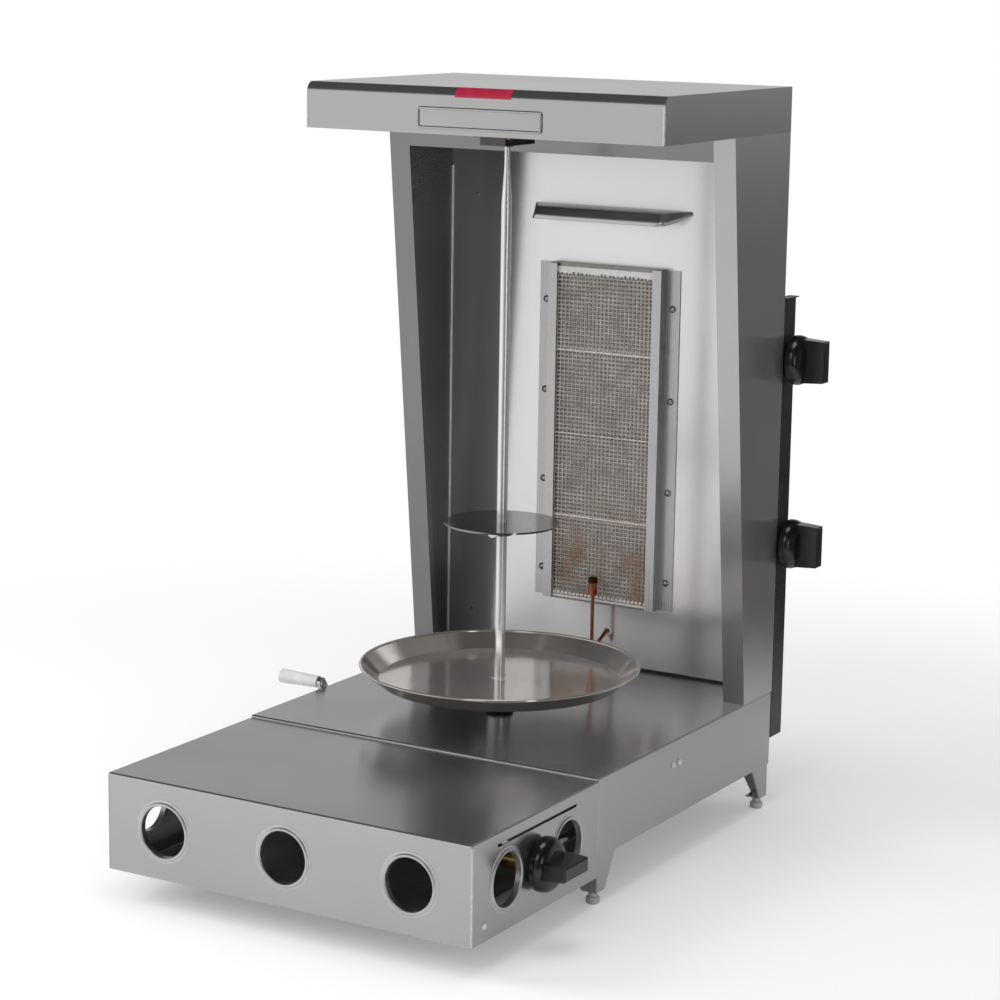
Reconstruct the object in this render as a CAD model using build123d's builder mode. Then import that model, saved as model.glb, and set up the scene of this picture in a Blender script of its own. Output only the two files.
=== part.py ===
from build123d import *
from math import atan2, cos, hypot, pi, radians, sin, tan
import os

os.makedirs("parts", exist_ok=True)

# Gas doner kebab grill: a base with a vertical hand-cranked spit in front of an infrared
# burner wall, a hood above, and a vented warming griddle built on to the front of the base.
# Millimetres. The rear of the grill is +Y, its right-hand side +X, and the floor is z = 0.
# In the sizes below x is counted from the middle of the body and y from the base's front wall.

# Sheet metal and fits
sheet = 1.2
bend = 2.0
hem = 14.0
snug = 0.05
running = 0.05
body_gap = 0.3
overrun = 4.0

# Base
body_width = 420.0
base_depth = 395.0
base_height = 82.0
ground_clearance = 50.0

# Legs and foot pads
leg_sheet = 2.0
leg_height = 37.0
leg_top_width = 38.0
leg_tip_width = 17.0
leg_inset = 1.5
foot_inset = 9.5
foot_radius = 7.0
foot_pad_height = 7.0
foot_edge = 1.0
foot_neck_radius = 4.5
foot_stem_radius = 3.0
foot_head_radius = 5.0
foot_head_height = 2.0

# Warming griddle
griddle_depth = 240.0
griddle_height = 99.0
griddle_step = 2.5
vent_radius = 26.0
vent_collar = 1.0
vent_collar_depth = 5.0
vent_bead_width = 3.6
vent_bead_height = 2.0
vent_skirt_radius = 32.0
vent_skirt_height = 0.5
front_vent_pitch = 142.0
side_vent_inset = 62.0
side_slot_length = 150.0
side_slot_width = 3.0
side_slot_drop = 12.5
tray_width = 350.0
tray_lip = 12.0

# Griddle burner
bar_radius = 13.0
bar_wall = 1.2
bar_drop = 29.5
bar_mouth_gap = 5.0
bar_mouth_radius = 16.0
bar_mouth_length = 6.0
bar_straight = 24.0
bar_rise_run = 42.0
bar_bend_radius = 32.0
bar_end_inset = 14.0
bar_stud_radius = 6.0
port_radius = 1.5
port_pitch = 11.0
port_count = 20

# Hood
hood_height = 48.0
hood_front = 103.0
hood_lift = 612.0
hood_round = 11.0
plate_width = 146.0
plate_height = 21.6
plate_raise = 1.0
plate_border = 2.0
plate_recess = 0.5
plate_corner = 3.0
plate_drop = 31.4

# Wings, header strip and back panel
wing_top_front = 261.0
wing_foot_front = 325.5
wing_flange = 25.0
wing_lip = 10.0
header_drop = 26.0
header_flange = 12.0

# Louvre hood above the burner
louvre_lift = 505.0
louvre_root_width = 196.0
louvre_root_height = 15.0
louvre_front_width = 158.0
louvre_front_height = 8.5
louvre_depth = 28.0
louvre_slot_width = 140.0
louvre_slot_height = 8.0

# Infrared burner: two gas boxes, each with two ceramic plaques behind one wire mesh
burner_lift = 264.7
burner_x = -2.1
plaque_width = 132.0
plaque_height = 92.0
plaque_thickness = 13.0
plaque_gap = 3.2
box_width = 139.0
box_reach = 9.5
box_depth = 52.0
box_lip = 4.0
box_margin = 1.8
plaque_set_back = 5.0
rail_length = 382.0
rail_flange = 17.3
rail_lip = 10.8
rail_stand = 2.0
mesh_thickness = 1.0
mesh_height = 370.0
mesh_columns = 9
mesh_rows = 28
mesh_wire = 1.2
mix_radius = 12.0
mix_length = 46.0
mix_mouth_radius = 15.0
mix_mouth_length = 6.0

# Gas valves, their stems and knobs
upper_valve_lift = 367.0
lower_valve_lift = 164.0
rear_valve_set_back = 19.0
valve_radius = 11.0
valve_length = 34.0
valve_nose_radius = 6.0
valve_nose_length = 4.0
valve_tail_radius = 5.0
valve_tail_length = 8.0
valve_inlet_radius = 6.5
valve_inlet_length = 4.0
valve_inlet_back = 13.8
stem_radius = 4.0
stem_flat = 1.2
stem_depth = 22.0
stem_hold = 16.0
knob_standoff = 6.0
knob_radius = 27.0
knob_rim = 2.5
knob_crown_radius = 17.0
knob_crown_height = 15.0
knob_height = 37.0
knob_bar_length = 48.0
knob_bar_width = 17.0
knob_bar_taper = 3.0
knob_bar_foot = 6.0
knob_edge = 2.0
knob_recess_radius = 20.0
knob_recess_depth = 8.0
knob_travel = 3.0
knob_travel_spare = 0.6

# Gas pipes
manifold_radius = 7.0
manifold_wall = 1.5
manifold_foot_lift = 18.0
manifold_head = 18.0
manifold_stub_radius = 6.5
pipe_radius = 5.0
pipe_wall = 1.0
pipe_bend_radius = 14.0
pipe_hole_gap = 1.0
pipe_nut_radius = 9.0
pipe_nut_length = 10.0
inlet_lift = 30.0
inlet_stub = 3.0
inlet_nut_radius = 13.0
inlet_nut_length = 8.0
inlet_thread_radius = 10.48
inlet_thread_length = 15.0
inlet_bore_radius = 6.5
injector_radius = 4.0
injector_nut_radius = 8.0
injector_nut_length = 8.0
injector_tip_radius = 3.0
injector_tip_length = 6.0
injector_gap = 3.0

# Valve bracket behind the right wing
bracket_depth = 28.0
bracket_front_flange = 9.0
bracket_head_lift = 434.0
bracket_foot_lift = -53.0
bracket_lid_overhang = 2.5

# Flame sensor
sensor_x = -2.0
sensor_stand_off = 24.5
sensor_top_lift = 107.0
sensor_radius = 2.0
sensor_nut_radius = 5.6
sensor_nut_height = 6.5
sensor_neck_radius = 4.6
sensor_neck_height = 7.0
sensor_cap_radius = 5.4
sensor_cap_height = 6.5
sensor_cap_round = 2.6
sensor_low_lift = 21.0
sensor_hole_x = 5.4
sensor_hole_lift = 41.0
sensor_hole_run = 5.0
sensor_tail = 10.0
sensor_bend_radius = 4.0

# Spit drive under the base top
spit_y = 160.5
crank_drop = 32.0
brace_sheet = 2.0
brace_width = 60.0
brace_shift = 6.4
brace_lift = 8.0
brace_tab_height = 56.0
brace_screw_drop = 26.0
brace_screw_pitch = 14.6
upright_x = 50.0
upright_width = 32.0
upright_head = 16.0
upright_sheet = 3.0
gear_module = 2.0
pinion_teeth = 16
wheel_teeth = 24
gear_face = 9.0
tooth_half = 1.2
tooth_slope = 20.0
tooth_addendum = 1.6
tooth_dedendum = 2.5
tooth_root_sink = 0.4
gear_back = 5.0
pinion_hub_radius = 11.0
pinion_hub_length = 10.0
wheel_hub_radius = 13.0
wheel_web_length = 13.5
crank_radius = 6.0
crank_inner_end = 13.0
bush_wall = 3.0
bush_flange = 4.0
bush_flange_thickness = 2.0
bush_overhang = 2.0
crank_flange_thickness = 3.0

# Crank handle
arm_length = 41.0
arm_angle = 120.0
arm_thickness = 5.0
arm_root_radius = 8.0
arm_tip_radius = 5.5
crank_cap_radius = 9.0
crank_cap_length = 3.6
grip_pin_radius = 3.0
grip_head_radius = 4.0
grip_head_length = 1.6
grip_length = 48.8
grip_inner_radius = 6.6
grip_belly_radius = 7.5
grip_outer_radius = 7.8
grip_rounding = 1.5
grip_belly_share = 0.7

# Spindle, hub, drip pan, spit and meat disc
spindle_radius = 8.0
spindle_foot_radius = 6.0
spindle_foot_length = 9.0
hub_flange_radius = 15.5
hub_flange_height = 4.0
hub_spigot_radius = 11.5
hub_spigot_length = 8.0
hub_chamfer = 1.0
column_radius = 12.0
pan_lift = 34.5
pan_seat_radius = 30.0
pan_seat_height = 3.0
pan_spigot_radius = 10.0
pan_floor_radius = 130.0
pan_rim_radius = 149.0
pan_rim_height = 16.2
pan_bead_radius = 1.6
socket_depth = 20.0
tang_width = 7.8
spit_radius = 5.6
spit_tip_radius = 3.0
spit_taper_foot = 540.0
spit_taper_head = 580.0
spit_tip_lift = 615.0
disc_lift = 204.0
disc_radius = 60.5
disc_thickness = 2.0
disc_collar_radius = 11.0
disc_collar_height = 12.0
disc_screw_radius = 2.5
disc_screw_head_radius = 6.0
disc_screw_head_length = 7.0
disc_screw_neck = 2.0

# Upper spit bearing under the hood
stirrup_length = 84.0
stirrup_width = 30.0
stirrup_drop = 9.0
stirrup_foot = 15.0
stirrup_sheet = 3.0
tip_bush_radius = 6.0
tip_bush_flange = 2.5
tip_bush_length = 7.0
tip_hole_radius = 9.0

# Pan-head screws
screw_head_radius = 3.8
screw_head_height = 2.2
screw_rim_height = 1.2
screw_crown_radius = 2.6
screw_shank_radius = 2.0
screw_length = 6.0
rail_screw_pitch = 102.6
rail_screw_rows = 4
rail_screw_drop = 5.3
panel_screw_x = 175.0
panel_screw_top_lift = 526.0
panel_screw_foot_lift = 44.0
casing_screw_inset = 22.0
casing_screw_lift = 15.5

# Heights and planes that follow from the sizes above
half_width = body_width / 2
base_top = ground_clearance + base_height
leg_foot = ground_clearance - leg_height
griddle_top = base_top - griddle_step
griddle_foot = griddle_top - griddle_height
griddle_mid = (griddle_top + griddle_foot) / 2
hood_foot = base_top + hood_lift
hood_top = hood_foot + hood_height
panel_back = base_depth - sheet
panel_front = panel_back - sheet
burner_mid = base_top + burner_lift
rail_screw_mid = burner_mid - rail_screw_drop
plaque_pitch = plaque_height + plaque_gap
box_front = panel_front - box_reach
box_back = box_front + box_depth
mesh_front = box_front - snug - mesh_thickness
rail_front = mesh_front - snug - sheet - rail_stand
rail_wall = box_width / 2 + snug
rail_screw_reach = rail_wall + sheet + rail_flange / 2
crank_z = base_top - crank_drop
brace_z = ground_clearance + brace_lift
brace_y = spit_y + brace_shift
pan_z = base_top + pan_lift
pan_top = pan_z + sheet
valve_face = half_width - sheet
knob_base = half_width + knob_standoff
manifold_x = valve_face - valve_inlet_back
rear_valve_y = base_depth + rear_valve_set_back
manifold_y = rear_valve_y + valve_radius + valve_inlet_length + manifold_radius
griddle_valve_y = -griddle_depth / 2
upper_valve_z = base_top + upper_valve_lift
lower_valve_z = base_top + lower_valve_lift
arm_face = half_width + crank_flange_thickness + body_gap
grip_y = spit_y + arm_length * cos(radians(arm_angle))
grip_z = crank_z + arm_length * sin(radians(arm_angle))
grip_start = arm_face + arm_thickness + body_gap
grip_end = grip_start + grip_length

# The part's origin lies on the floor under the middle of everything above
left_reach = grip_end + body_gap + grip_head_length
right_reach = knob_base + knob_height
rear_reach = manifold_y + inlet_nut_radius
mid_x = (right_reach - left_reach) / 2
mid_y = (rear_reach - griddle_depth) / 2


def flat(z, x=0, y=0):
    return Plane((x - mid_x, y - mid_y, z))


def upright(y, x=0, z=0):
    return Plane((x - mid_x, y - mid_y, z), x_dir=(1, 0, 0), z_dir=(0, -1, 0))


def sideways(x, y=0, z=0):
    return Plane((x - mid_x, y - mid_y, z), x_dir=(0, 1, 0), z_dir=(1, 0, 0))


# A plane for a turned profile: its x is the radius and its y runs along the given direction
def lathe(x, y, z, along):
    direction = Vector(along)
    radial = Vector(1, 0, 0) if direction.Z else Vector(0, 0, 1)
    return Plane((x - mid_x, y - mid_y, z), x_dir=radial, z_dir=radial.cross(direction))


def centreline(plane):
    return Axis(plane.origin, plane.y_dir)


# A rectangle between two corners, in the sketch's own directions
def patch(left, right, low, high, mode=Mode.ADD):
    Polygon((left, low), (right, low), (right, high), (left, high), align=None, mode=mode)


def save(piece, name):
    piece.part.label = name
    export_step(piece.part, f"parts/{name}.step")


# Base: one folded sheet, open below, with a return flange round its lower edge
with BuildPart() as base_shell:
    with BuildSketch(flat(ground_clearance)):
        patch(-half_width, half_width, 0, base_depth)
    extrude(amount=base_height)
    top_edges = base_shell.faces().sort_by(Axis.Z)[-1].edges()
    fillet(base_shell.edges().filter_by(Axis.Z) + top_edges, radius=bend)
    with BuildSketch(flat(ground_clearance + sheet)):
        patch(sheet - half_width, half_width - sheet, sheet, base_depth - sheet)
    extrude(amount=base_height - 2 * sheet, mode=Mode.SUBTRACT)
    with BuildSketch(flat(ground_clearance)):
        patch(hem - half_width, half_width - hem, hem, base_depth - hem)
    extrude(amount=sheet, mode=Mode.SUBTRACT)
    with BuildSketch(flat(base_top, 0, spit_y)):
        Circle(hub_spigot_radius + snug)
    extrude(amount=-sheet, mode=Mode.SUBTRACT)
    with BuildSketch(sideways(-half_width, spit_y, crank_z)):
        Circle(crank_radius + bush_wall + snug)
    extrude(amount=sheet, mode=Mode.SUBTRACT)
    with BuildSketch(sideways(half_width, brace_y, base_top - brace_screw_drop)):
        with GridLocations(brace_screw_pitch, brace_screw_pitch, 2, 1):
            Circle(screw_shank_radius + snug)
    extrude(amount=-sheet, mode=Mode.SUBTRACT)
    with BuildSketch(upright(0, manifold_x, griddle_mid)):
        Circle(pipe_radius + pipe_hole_gap)
    extrude(amount=-base_depth, mode=Mode.SUBTRACT)
save(base_shell, "base_shell")


# Legs: tapered corner angles, set in a little, with a plate under the base and a tab for the foot
def make_leg(side, end):
    corner_x = side * (half_width - leg_inset)
    corner_y = base_depth - leg_inset if end > 0 else leg_inset
    hole_inset = foot_inset - leg_inset
    with BuildPart() as leg:
        with BuildSketch(sideways(corner_x, corner_y)):
            Polygon(
                (0, ground_clearance),
                (-end * leg_top_width, ground_clearance),
                (-end * leg_tip_width, leg_foot),
                (0, leg_foot),
                align=None,
            )
        extrude(amount=-side * leg_sheet)
        with BuildSketch(upright(corner_y, corner_x)):
            Polygon(
                (0, ground_clearance),
                (-side * leg_top_width, ground_clearance),
                (-side * leg_tip_width, leg_foot),
                (0, leg_foot),
                align=None,
            )
        extrude(amount=end * leg_sheet)
        with BuildSketch(flat(ground_clearance - leg_sheet, corner_x, corner_y)):
            Polygon(
                (0, 0),
                (-side * leg_top_width, 0),
                (0, -end * leg_top_width),
                align=None,
            )
        extrude(amount=leg_sheet)
        with BuildSketch(flat(leg_foot, corner_x, corner_y)):
            Polygon(
                (0, 0),
                (-side * leg_tip_width, 0),
                (-side * leg_tip_width, -end * leg_tip_width),
                (0, -end * leg_tip_width),
                align=None,
            )
            with Locations((-side * hole_inset, -end * hole_inset)):
                Circle(foot_stem_radius + snug, mode=Mode.SUBTRACT)
        extrude(amount=leg_sheet)
    return leg


for end, end_name in ((-1, "front"), (1, "rear")):
    for side, side_name in ((-1, "left"), (1, "right")):
        save(make_leg(side, end), f"leg_{end_name}_{side_name}")

# Foot pads: turned studs riveted through the tabs of the legs
with BuildPart() as foot_pads:
    for side in (-1, 1):
        for foot_y in (foot_inset, base_depth - foot_inset):
            foot_plane = lathe(side * (half_width - foot_inset), foot_y, 0, (0, 0, 1))
            with BuildSketch(foot_plane):
                Polygon(
                    (0, 0),
                    (foot_radius - foot_edge, 0),
                    (foot_radius, foot_edge),
                    (foot_radius, foot_pad_height - foot_edge),
                    (foot_radius - foot_edge, foot_pad_height),
                    (foot_neck_radius, foot_pad_height),
                    (foot_neck_radius, leg_foot),
                    (foot_stem_radius, leg_foot),
                    (foot_stem_radius, leg_foot + leg_sheet),
                    (foot_head_radius, leg_foot + leg_sheet),
                    (foot_head_radius, leg_foot + leg_sheet + foot_head_height),
                    (0, leg_foot + leg_sheet + foot_head_height),
                    align=None,
                )
            revolve(axis=centreline(foot_plane))
save(foot_pads, "foot_pads")

# Warming griddle: a folded casing with round air vents, open below and behind
with BuildPart() as griddle_casing:
    with BuildSketch(flat(griddle_foot)):
        patch(-half_width, half_width, -griddle_depth, 0)
    extrude(amount=griddle_height)
    front_edges = griddle_casing.edges().filter_by(Axis.Z).sort_by(Axis.Y)[:2]
    top_edges = griddle_casing.faces().sort_by(Axis.Z)[-1].edges().sort_by(Axis.Y)[:3]
    fillet(front_edges + top_edges, radius=bend)
    with BuildSketch(flat(griddle_foot + sheet)):
        patch(sheet - half_width, half_width - sheet, sheet - griddle_depth, -sheet)
    extrude(amount=griddle_height - 2 * sheet, mode=Mode.SUBTRACT)
    with BuildSketch(flat(griddle_foot)):
        patch(hem - half_width, half_width - hem, hem - griddle_depth, -hem)
    extrude(amount=sheet, mode=Mode.SUBTRACT)
    with BuildSketch(upright(0)):
        patch(hem - half_width, half_width - hem, griddle_foot + hem, griddle_top - hem)
    extrude(amount=sheet, mode=Mode.SUBTRACT)
    with BuildSketch(upright(0, manifold_x, griddle_mid)):
        Circle(pipe_radius + pipe_hole_gap)
    extrude(amount=sheet, mode=Mode.SUBTRACT)
    with BuildSketch(upright(-griddle_depth, 0, griddle_mid)):
        with GridLocations(front_vent_pitch, front_vent_pitch, 3, 1):
            Circle(vent_radius + vent_collar + snug)
    extrude(amount=-sheet, mode=Mode.SUBTRACT)
    with BuildSketch(sideways(half_width, griddle_valve_y, griddle_mid)):
        with GridLocations(griddle_depth - 2 * side_vent_inset, griddle_depth, 2, 1):
            Circle(vent_radius + vent_collar + snug)
    extrude(amount=-body_width, mode=Mode.SUBTRACT)
    with BuildSketch(sideways(half_width, griddle_valve_y, griddle_mid)):
        Circle(valve_nose_radius + snug)
        with Locations((0, griddle_height / 2 - side_slot_drop)):
            SlotOverall(side_slot_length, side_slot_width)
    extrude(amount=-sheet, mode=Mode.SUBTRACT)
    with BuildSketch(sideways(half_width, casing_screw_inset - griddle_depth, griddle_foot)):
        with Locations((0, casing_screw_lift)):
            Circle(screw_shank_radius + snug)
    extrude(amount=-body_width, mode=Mode.SUBTRACT)
save(griddle_casing, "griddle_casing")

# Vent rings: rolled ferrules pressed into the air vents
side_vent_ys = (side_vent_inset - griddle_depth, -side_vent_inset)
vent_places = [(k * front_vent_pitch, -griddle_depth, (0, -1, 0)) for k in (-1, 0, 1)]
vent_places += [(side * half_width, y, (side, 0, 0)) for side in (-1, 1) for y in side_vent_ys]
with BuildPart() as vent_rings:
    for vent_x, vent_y, outward in vent_places:
        vent_plane = lathe(vent_x, vent_y, griddle_mid, outward)
        with BuildSketch(vent_plane):
            with BuildLine():
                Polyline(
                    (vent_radius + vent_bead_width, vent_bead_height / 2),
                    (vent_radius + vent_bead_width, vent_skirt_height),
                    (vent_skirt_radius, vent_skirt_height / 2),
                    (vent_skirt_radius, 0),
                    (vent_radius + vent_collar, 0),
                    (vent_radius + vent_collar, -vent_collar_depth),
                    (vent_radius, -vent_collar_depth),
                    (vent_radius, vent_bead_height / 2),
                )
                ThreePointArc(
                    (vent_radius, vent_bead_height / 2),
                    (vent_radius + vent_bead_width / 2, vent_bead_height),
                    (vent_radius + vent_bead_width, vent_bead_height / 2),
                )
            make_face()
        revolve(axis=centreline(vent_plane))
save(vent_rings, "vent_rings")

# Shield tray lying on the casing's lower flanges under the griddle burner
tray_z = griddle_foot + sheet
with BuildPart() as burner_tray:
    with BuildSketch(upright(-sheet - snug)):
        patch(-tray_width / 2, tray_width / 2, tray_z, tray_z + tray_lip)
        tray_inner = tray_width / 2 - sheet
        patch(-tray_inner, tray_inner, tray_z + sheet, tray_z + tray_lip, Mode.SUBTRACT)
    extrude(amount=griddle_depth - 2 * sheet - 2 * snug)
save(burner_tray, "burner_tray")

# Griddle burner: a bar burner whose mixing tube rises from the valve to just under the plate
bar_z = griddle_top - bar_drop
bar_mouth_x = valve_face - valve_length - valve_tail_length - bar_mouth_gap
bar_left = bar_end_inset - half_width
with BuildPart() as griddle_burner:
    with BuildLine(upright(griddle_valve_y)) as bar_path:
        FilletPolyline(
            (bar_mouth_x, griddle_mid),
            (bar_mouth_x - bar_straight, griddle_mid),
            (bar_mouth_x - bar_straight - bar_rise_run, bar_z),
            (bar_left, bar_z),
            radius=bar_bend_radius,
        )
    with BuildSketch(sideways(bar_mouth_x, griddle_valve_y, griddle_mid)):
        Circle(bar_radius)
        Circle(bar_radius - bar_wall, mode=Mode.SUBTRACT)
    sweep(path=bar_path.wires()[0])
    with BuildSketch(sideways(bar_left, griddle_valve_y, bar_z)):
        Circle(bar_radius)
    extrude(amount=-bar_wall)
    with BuildSketch(sideways(bar_left - bar_wall, griddle_valve_y, bar_z)):
        Circle(bar_stud_radius)
    extrude(amount=sheet + bar_wall - bar_end_inset)
    mouth_plane = lathe(bar_mouth_x, griddle_valve_y, griddle_mid, (1, 0, 0))
    with BuildSketch(mouth_plane):
        Polygon(
            (bar_radius - bar_wall, -bar_mouth_length),
            (bar_radius, -bar_mouth_length),
            (bar_mouth_radius, 0),
            (bar_mouth_radius - bar_wall, 0),
            align=None,
        )
    revolve(axis=centreline(mouth_plane))
    bar_mid = (bar_mouth_x - bar_straight - 2 * bar_rise_run + bar_left) / 2
    with BuildSketch(flat(bar_z, bar_mid, griddle_valve_y)):
        with GridLocations(port_pitch, port_pitch, port_count, 1):
            Circle(port_radius)
    extrude(amount=bar_radius + overrun, mode=Mode.SUBTRACT)
save(griddle_burner, "griddle_burner")

# Hood: a folded wrap with a rounded front edge, a blank embossed plate and a return flange below,
# closed at its ends by two flat cheeks
with BuildPart() as hood_shell:
    with BuildSketch(sideways(-half_width)):
        patch(hood_front, base_depth, hood_foot, hood_top)
    extrude(amount=body_width)
    fillet(hood_shell.edges().filter_by(Axis.X).group_by(Axis.Z)[-1].sort_by(Axis.Y)[0], radius=hood_round)
    with BuildSketch(sideways(sheet - half_width)):
        patch(hood_front + sheet, base_depth - sheet, hood_foot + sheet, hood_top - sheet)
        fillet(vertices().group_by(Axis.Y)[-1].sort_by(Axis.X)[0], radius=hood_round - sheet)
    extrude(amount=body_width - 2 * sheet, mode=Mode.SUBTRACT)
    with BuildSketch(flat(hood_foot)):
        patch(hem - half_width, half_width - hem, hood_front + hem, base_depth - hem)
    extrude(amount=sheet, mode=Mode.SUBTRACT)
    with BuildSketch(upright(hood_front, 0, hood_top - plate_drop)):
        RectangleRounded(plate_width, plate_height, plate_corner)
    extrude(amount=plate_raise)
    with BuildSketch(upright(hood_front - plate_raise, 0, hood_top - plate_drop)):
        RectangleRounded(
            plate_width - 2 * plate_border, plate_height - 2 * plate_border, plate_corner - plate_border
        )
    extrude(amount=-plate_recess, mode=Mode.SUBTRACT)
    for side in (-1, 1):
        with BuildSketch(sideways(side * (half_width - sheet))):
            patch(hood_front, base_depth, hood_foot, hood_top)
        extrude(amount=-side * snug, mode=Mode.SUBTRACT)
save(hood_shell, "hood_shell")

# Hood floor: the heat shield that lies on the hood's flanges, with a hole above the spit
with BuildPart() as hood_floor:
    with BuildSketch(flat(hood_foot + sheet)):
        shield_half = half_width - sheet - snug
        patch(-shield_half, shield_half, hood_front + sheet + snug, panel_back - snug)
        with Locations((0, spit_y)):
            Circle(tip_hole_radius, mode=Mode.SUBTRACT)
    extrude(amount=sheet)
save(hood_floor, "hood_floor")

# Stirrup under the hood floor that carries the spit's upper bush
stirrup_top = hood_foot + sheet
stirrup_low = stirrup_top - stirrup_drop - stirrup_sheet
stirrup_half = stirrup_length / 2
stirrup_arch = stirrup_half - stirrup_foot
with BuildPart() as spit_bracket:
    with BuildSketch(sideways(-stirrup_width / 2, spit_y, stirrup_top)):
        Polygon(
            (-stirrup_half, 0),
            (-stirrup_half, -stirrup_sheet),
            (-stirrup_arch - stirrup_sheet, -stirrup_sheet),
            (-stirrup_arch - stirrup_sheet, stirrup_low - stirrup_top),
            (stirrup_arch + stirrup_sheet, stirrup_low - stirrup_top),
            (stirrup_arch + stirrup_sheet, -stirrup_sheet),
            (stirrup_half, -stirrup_sheet),
            (stirrup_half, 0),
            (stirrup_arch, 0),
            (stirrup_arch, -stirrup_drop),
            (-stirrup_arch, -stirrup_drop),
            (-stirrup_arch, 0),
            align=None,
        )
    extrude(amount=stirrup_width)
    with BuildSketch(flat(stirrup_low, 0, spit_y)):
        Circle(tip_bush_radius + snug)
    extrude(amount=stirrup_sheet, mode=Mode.SUBTRACT)
save(spit_bracket, "spit_bracket")

with BuildPart() as spit_top_bush:
    bush_plane = lathe(0, spit_y, stirrup_low, (0, 0, 1))
    with BuildSketch(bush_plane):
        Polygon(
            (spit_tip_radius + running, stirrup_sheet + bush_flange_thickness - tip_bush_length),
            (tip_bush_radius, stirrup_sheet + bush_flange_thickness - tip_bush_length),
            (tip_bush_radius, stirrup_sheet),
            (tip_bush_radius + tip_bush_flange, stirrup_sheet),
            (tip_bush_radius + tip_bush_flange, stirrup_sheet + bush_flange_thickness),
            (spit_tip_radius + running, stirrup_sheet + bush_flange_thickness),
            align=None,
        )
    revolve(axis=centreline(bush_plane))
save(spit_top_bush, "spit_top_bush")


# Wings: folded side walls that lean back towards the base, with a flange along the front edge
def make_wing(side):
    outer_x = side * half_width
    lip_x = side * (half_width - wing_flange + sheet)
    with BuildPart() as wing:
        with BuildSketch(sideways(outer_x)):
            Polygon(
                (wing_top_front, hood_foot),
                (base_depth, hood_foot),
                (base_depth, base_top),
                (wing_foot_front, base_top),
                align=None,
            )
        extrude(amount=-side * sheet)
        for start_x, reach, width in ((outer_x, sheet, wing_flange), (lip_x, wing_lip, sheet)):
            with BuildSketch(sideways(start_x)):
                Polygon(
                    (wing_top_front, hood_foot),
                    (wing_top_front + reach, hood_foot),
                    (wing_foot_front + reach, base_top),
                    (wing_foot_front, base_top),
                    align=None,
                )
            extrude(amount=-side * width)
        with BuildSketch(sideways(outer_x)):
            patch(panel_back, base_depth, base_top, hood_foot)
            patch(wing_foot_front + wing_lip, base_depth, base_top, base_top + sheet)
        extrude(amount=-side * hem)
    return wing


save(make_wing(-1), "left_wing")
save(make_wing(1), "right_wing")

# Header strip that closes the top of the opening between the wings' front flanges
wing_lean = (wing_foot_front - wing_top_front) / hood_lift
with BuildPart() as header_strip:
    header_half = half_width - wing_flange
    with BuildSketch(sideways(-header_half)):
        Polygon(
            (wing_top_front, hood_foot),
            (wing_top_front + header_flange, hood_foot),
            (wing_top_front + header_flange, hood_foot - sheet),
            (wing_top_front + sheet, hood_foot - sheet),
            (wing_top_front + sheet + header_drop * wing_lean, hood_foot - header_drop),
            (wing_top_front + header_drop * wing_lean, hood_foot - header_drop),
            align=None,
        )
    extrude(amount=2 * header_half)
save(header_strip, "header_strip")

# Back panel between the wings, cut out for the burner, the flame sensor and the louvre
burner_half_height = 3 * plaque_pitch / 2 + plaque_height / 2 + box_margin + sheet
louvre_z = base_top + louvre_lift
with BuildPart() as back_panel:
    with BuildSketch(upright(panel_back)):
        patch(sheet + snug - half_width, half_width - sheet - snug, base_top + sheet + snug, hood_foot)
        patch(hem + snug - half_width, half_width - hem - snug, base_top + snug, base_top + hem)
        patch(
            burner_x - box_width / 2 - snug,
            burner_x + box_width / 2 + snug,
            burner_mid - burner_half_height - snug,
            burner_mid + burner_half_height + snug,
            Mode.SUBTRACT,
        )
        with Locations((sensor_hole_x, base_top + sensor_hole_lift)):
            Circle(sensor_radius + body_gap, mode=Mode.SUBTRACT)
        with Locations((0, louvre_z + louvre_root_height / 2)):
            Rectangle(louvre_slot_width, louvre_slot_height, mode=Mode.SUBTRACT)
        for side in (-1, 1):
            with Locations((burner_x + side * rail_screw_reach, rail_screw_mid)):
                with GridLocations(rail_screw_pitch, rail_screw_pitch, 1, rail_screw_rows):
                    Circle(screw_shank_radius + snug, mode=Mode.SUBTRACT)
            for lift in (panel_screw_foot_lift, panel_screw_top_lift):
                with Locations((side * panel_screw_x, base_top + lift)):
                    Circle(screw_shank_radius + snug, mode=Mode.SUBTRACT)
    extrude(amount=sheet)
save(back_panel, "back_panel")


# Louvre hood: a pressed awning, open below, that throws the burner's hot air forward
with BuildPart() as louvre_hood:
    for wall, mode in ((0, Mode.ADD), (sheet, Mode.SUBTRACT)):
        low = louvre_z - overrun if wall else louvre_z
        root_half = louvre_root_width / 2 - wall
        front_half = louvre_front_width / 2 - wall
        with BuildSketch(upright(panel_front)):
            patch(-root_half, root_half, low, louvre_z + louvre_root_height - wall)
        with BuildSketch(upright(panel_front - louvre_depth + wall)):
            patch(-front_half, front_half, low, louvre_z + louvre_front_height - wall)
        loft(ruled=True, mode=mode)
save(louvre_hood, "louvre_hood")


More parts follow.
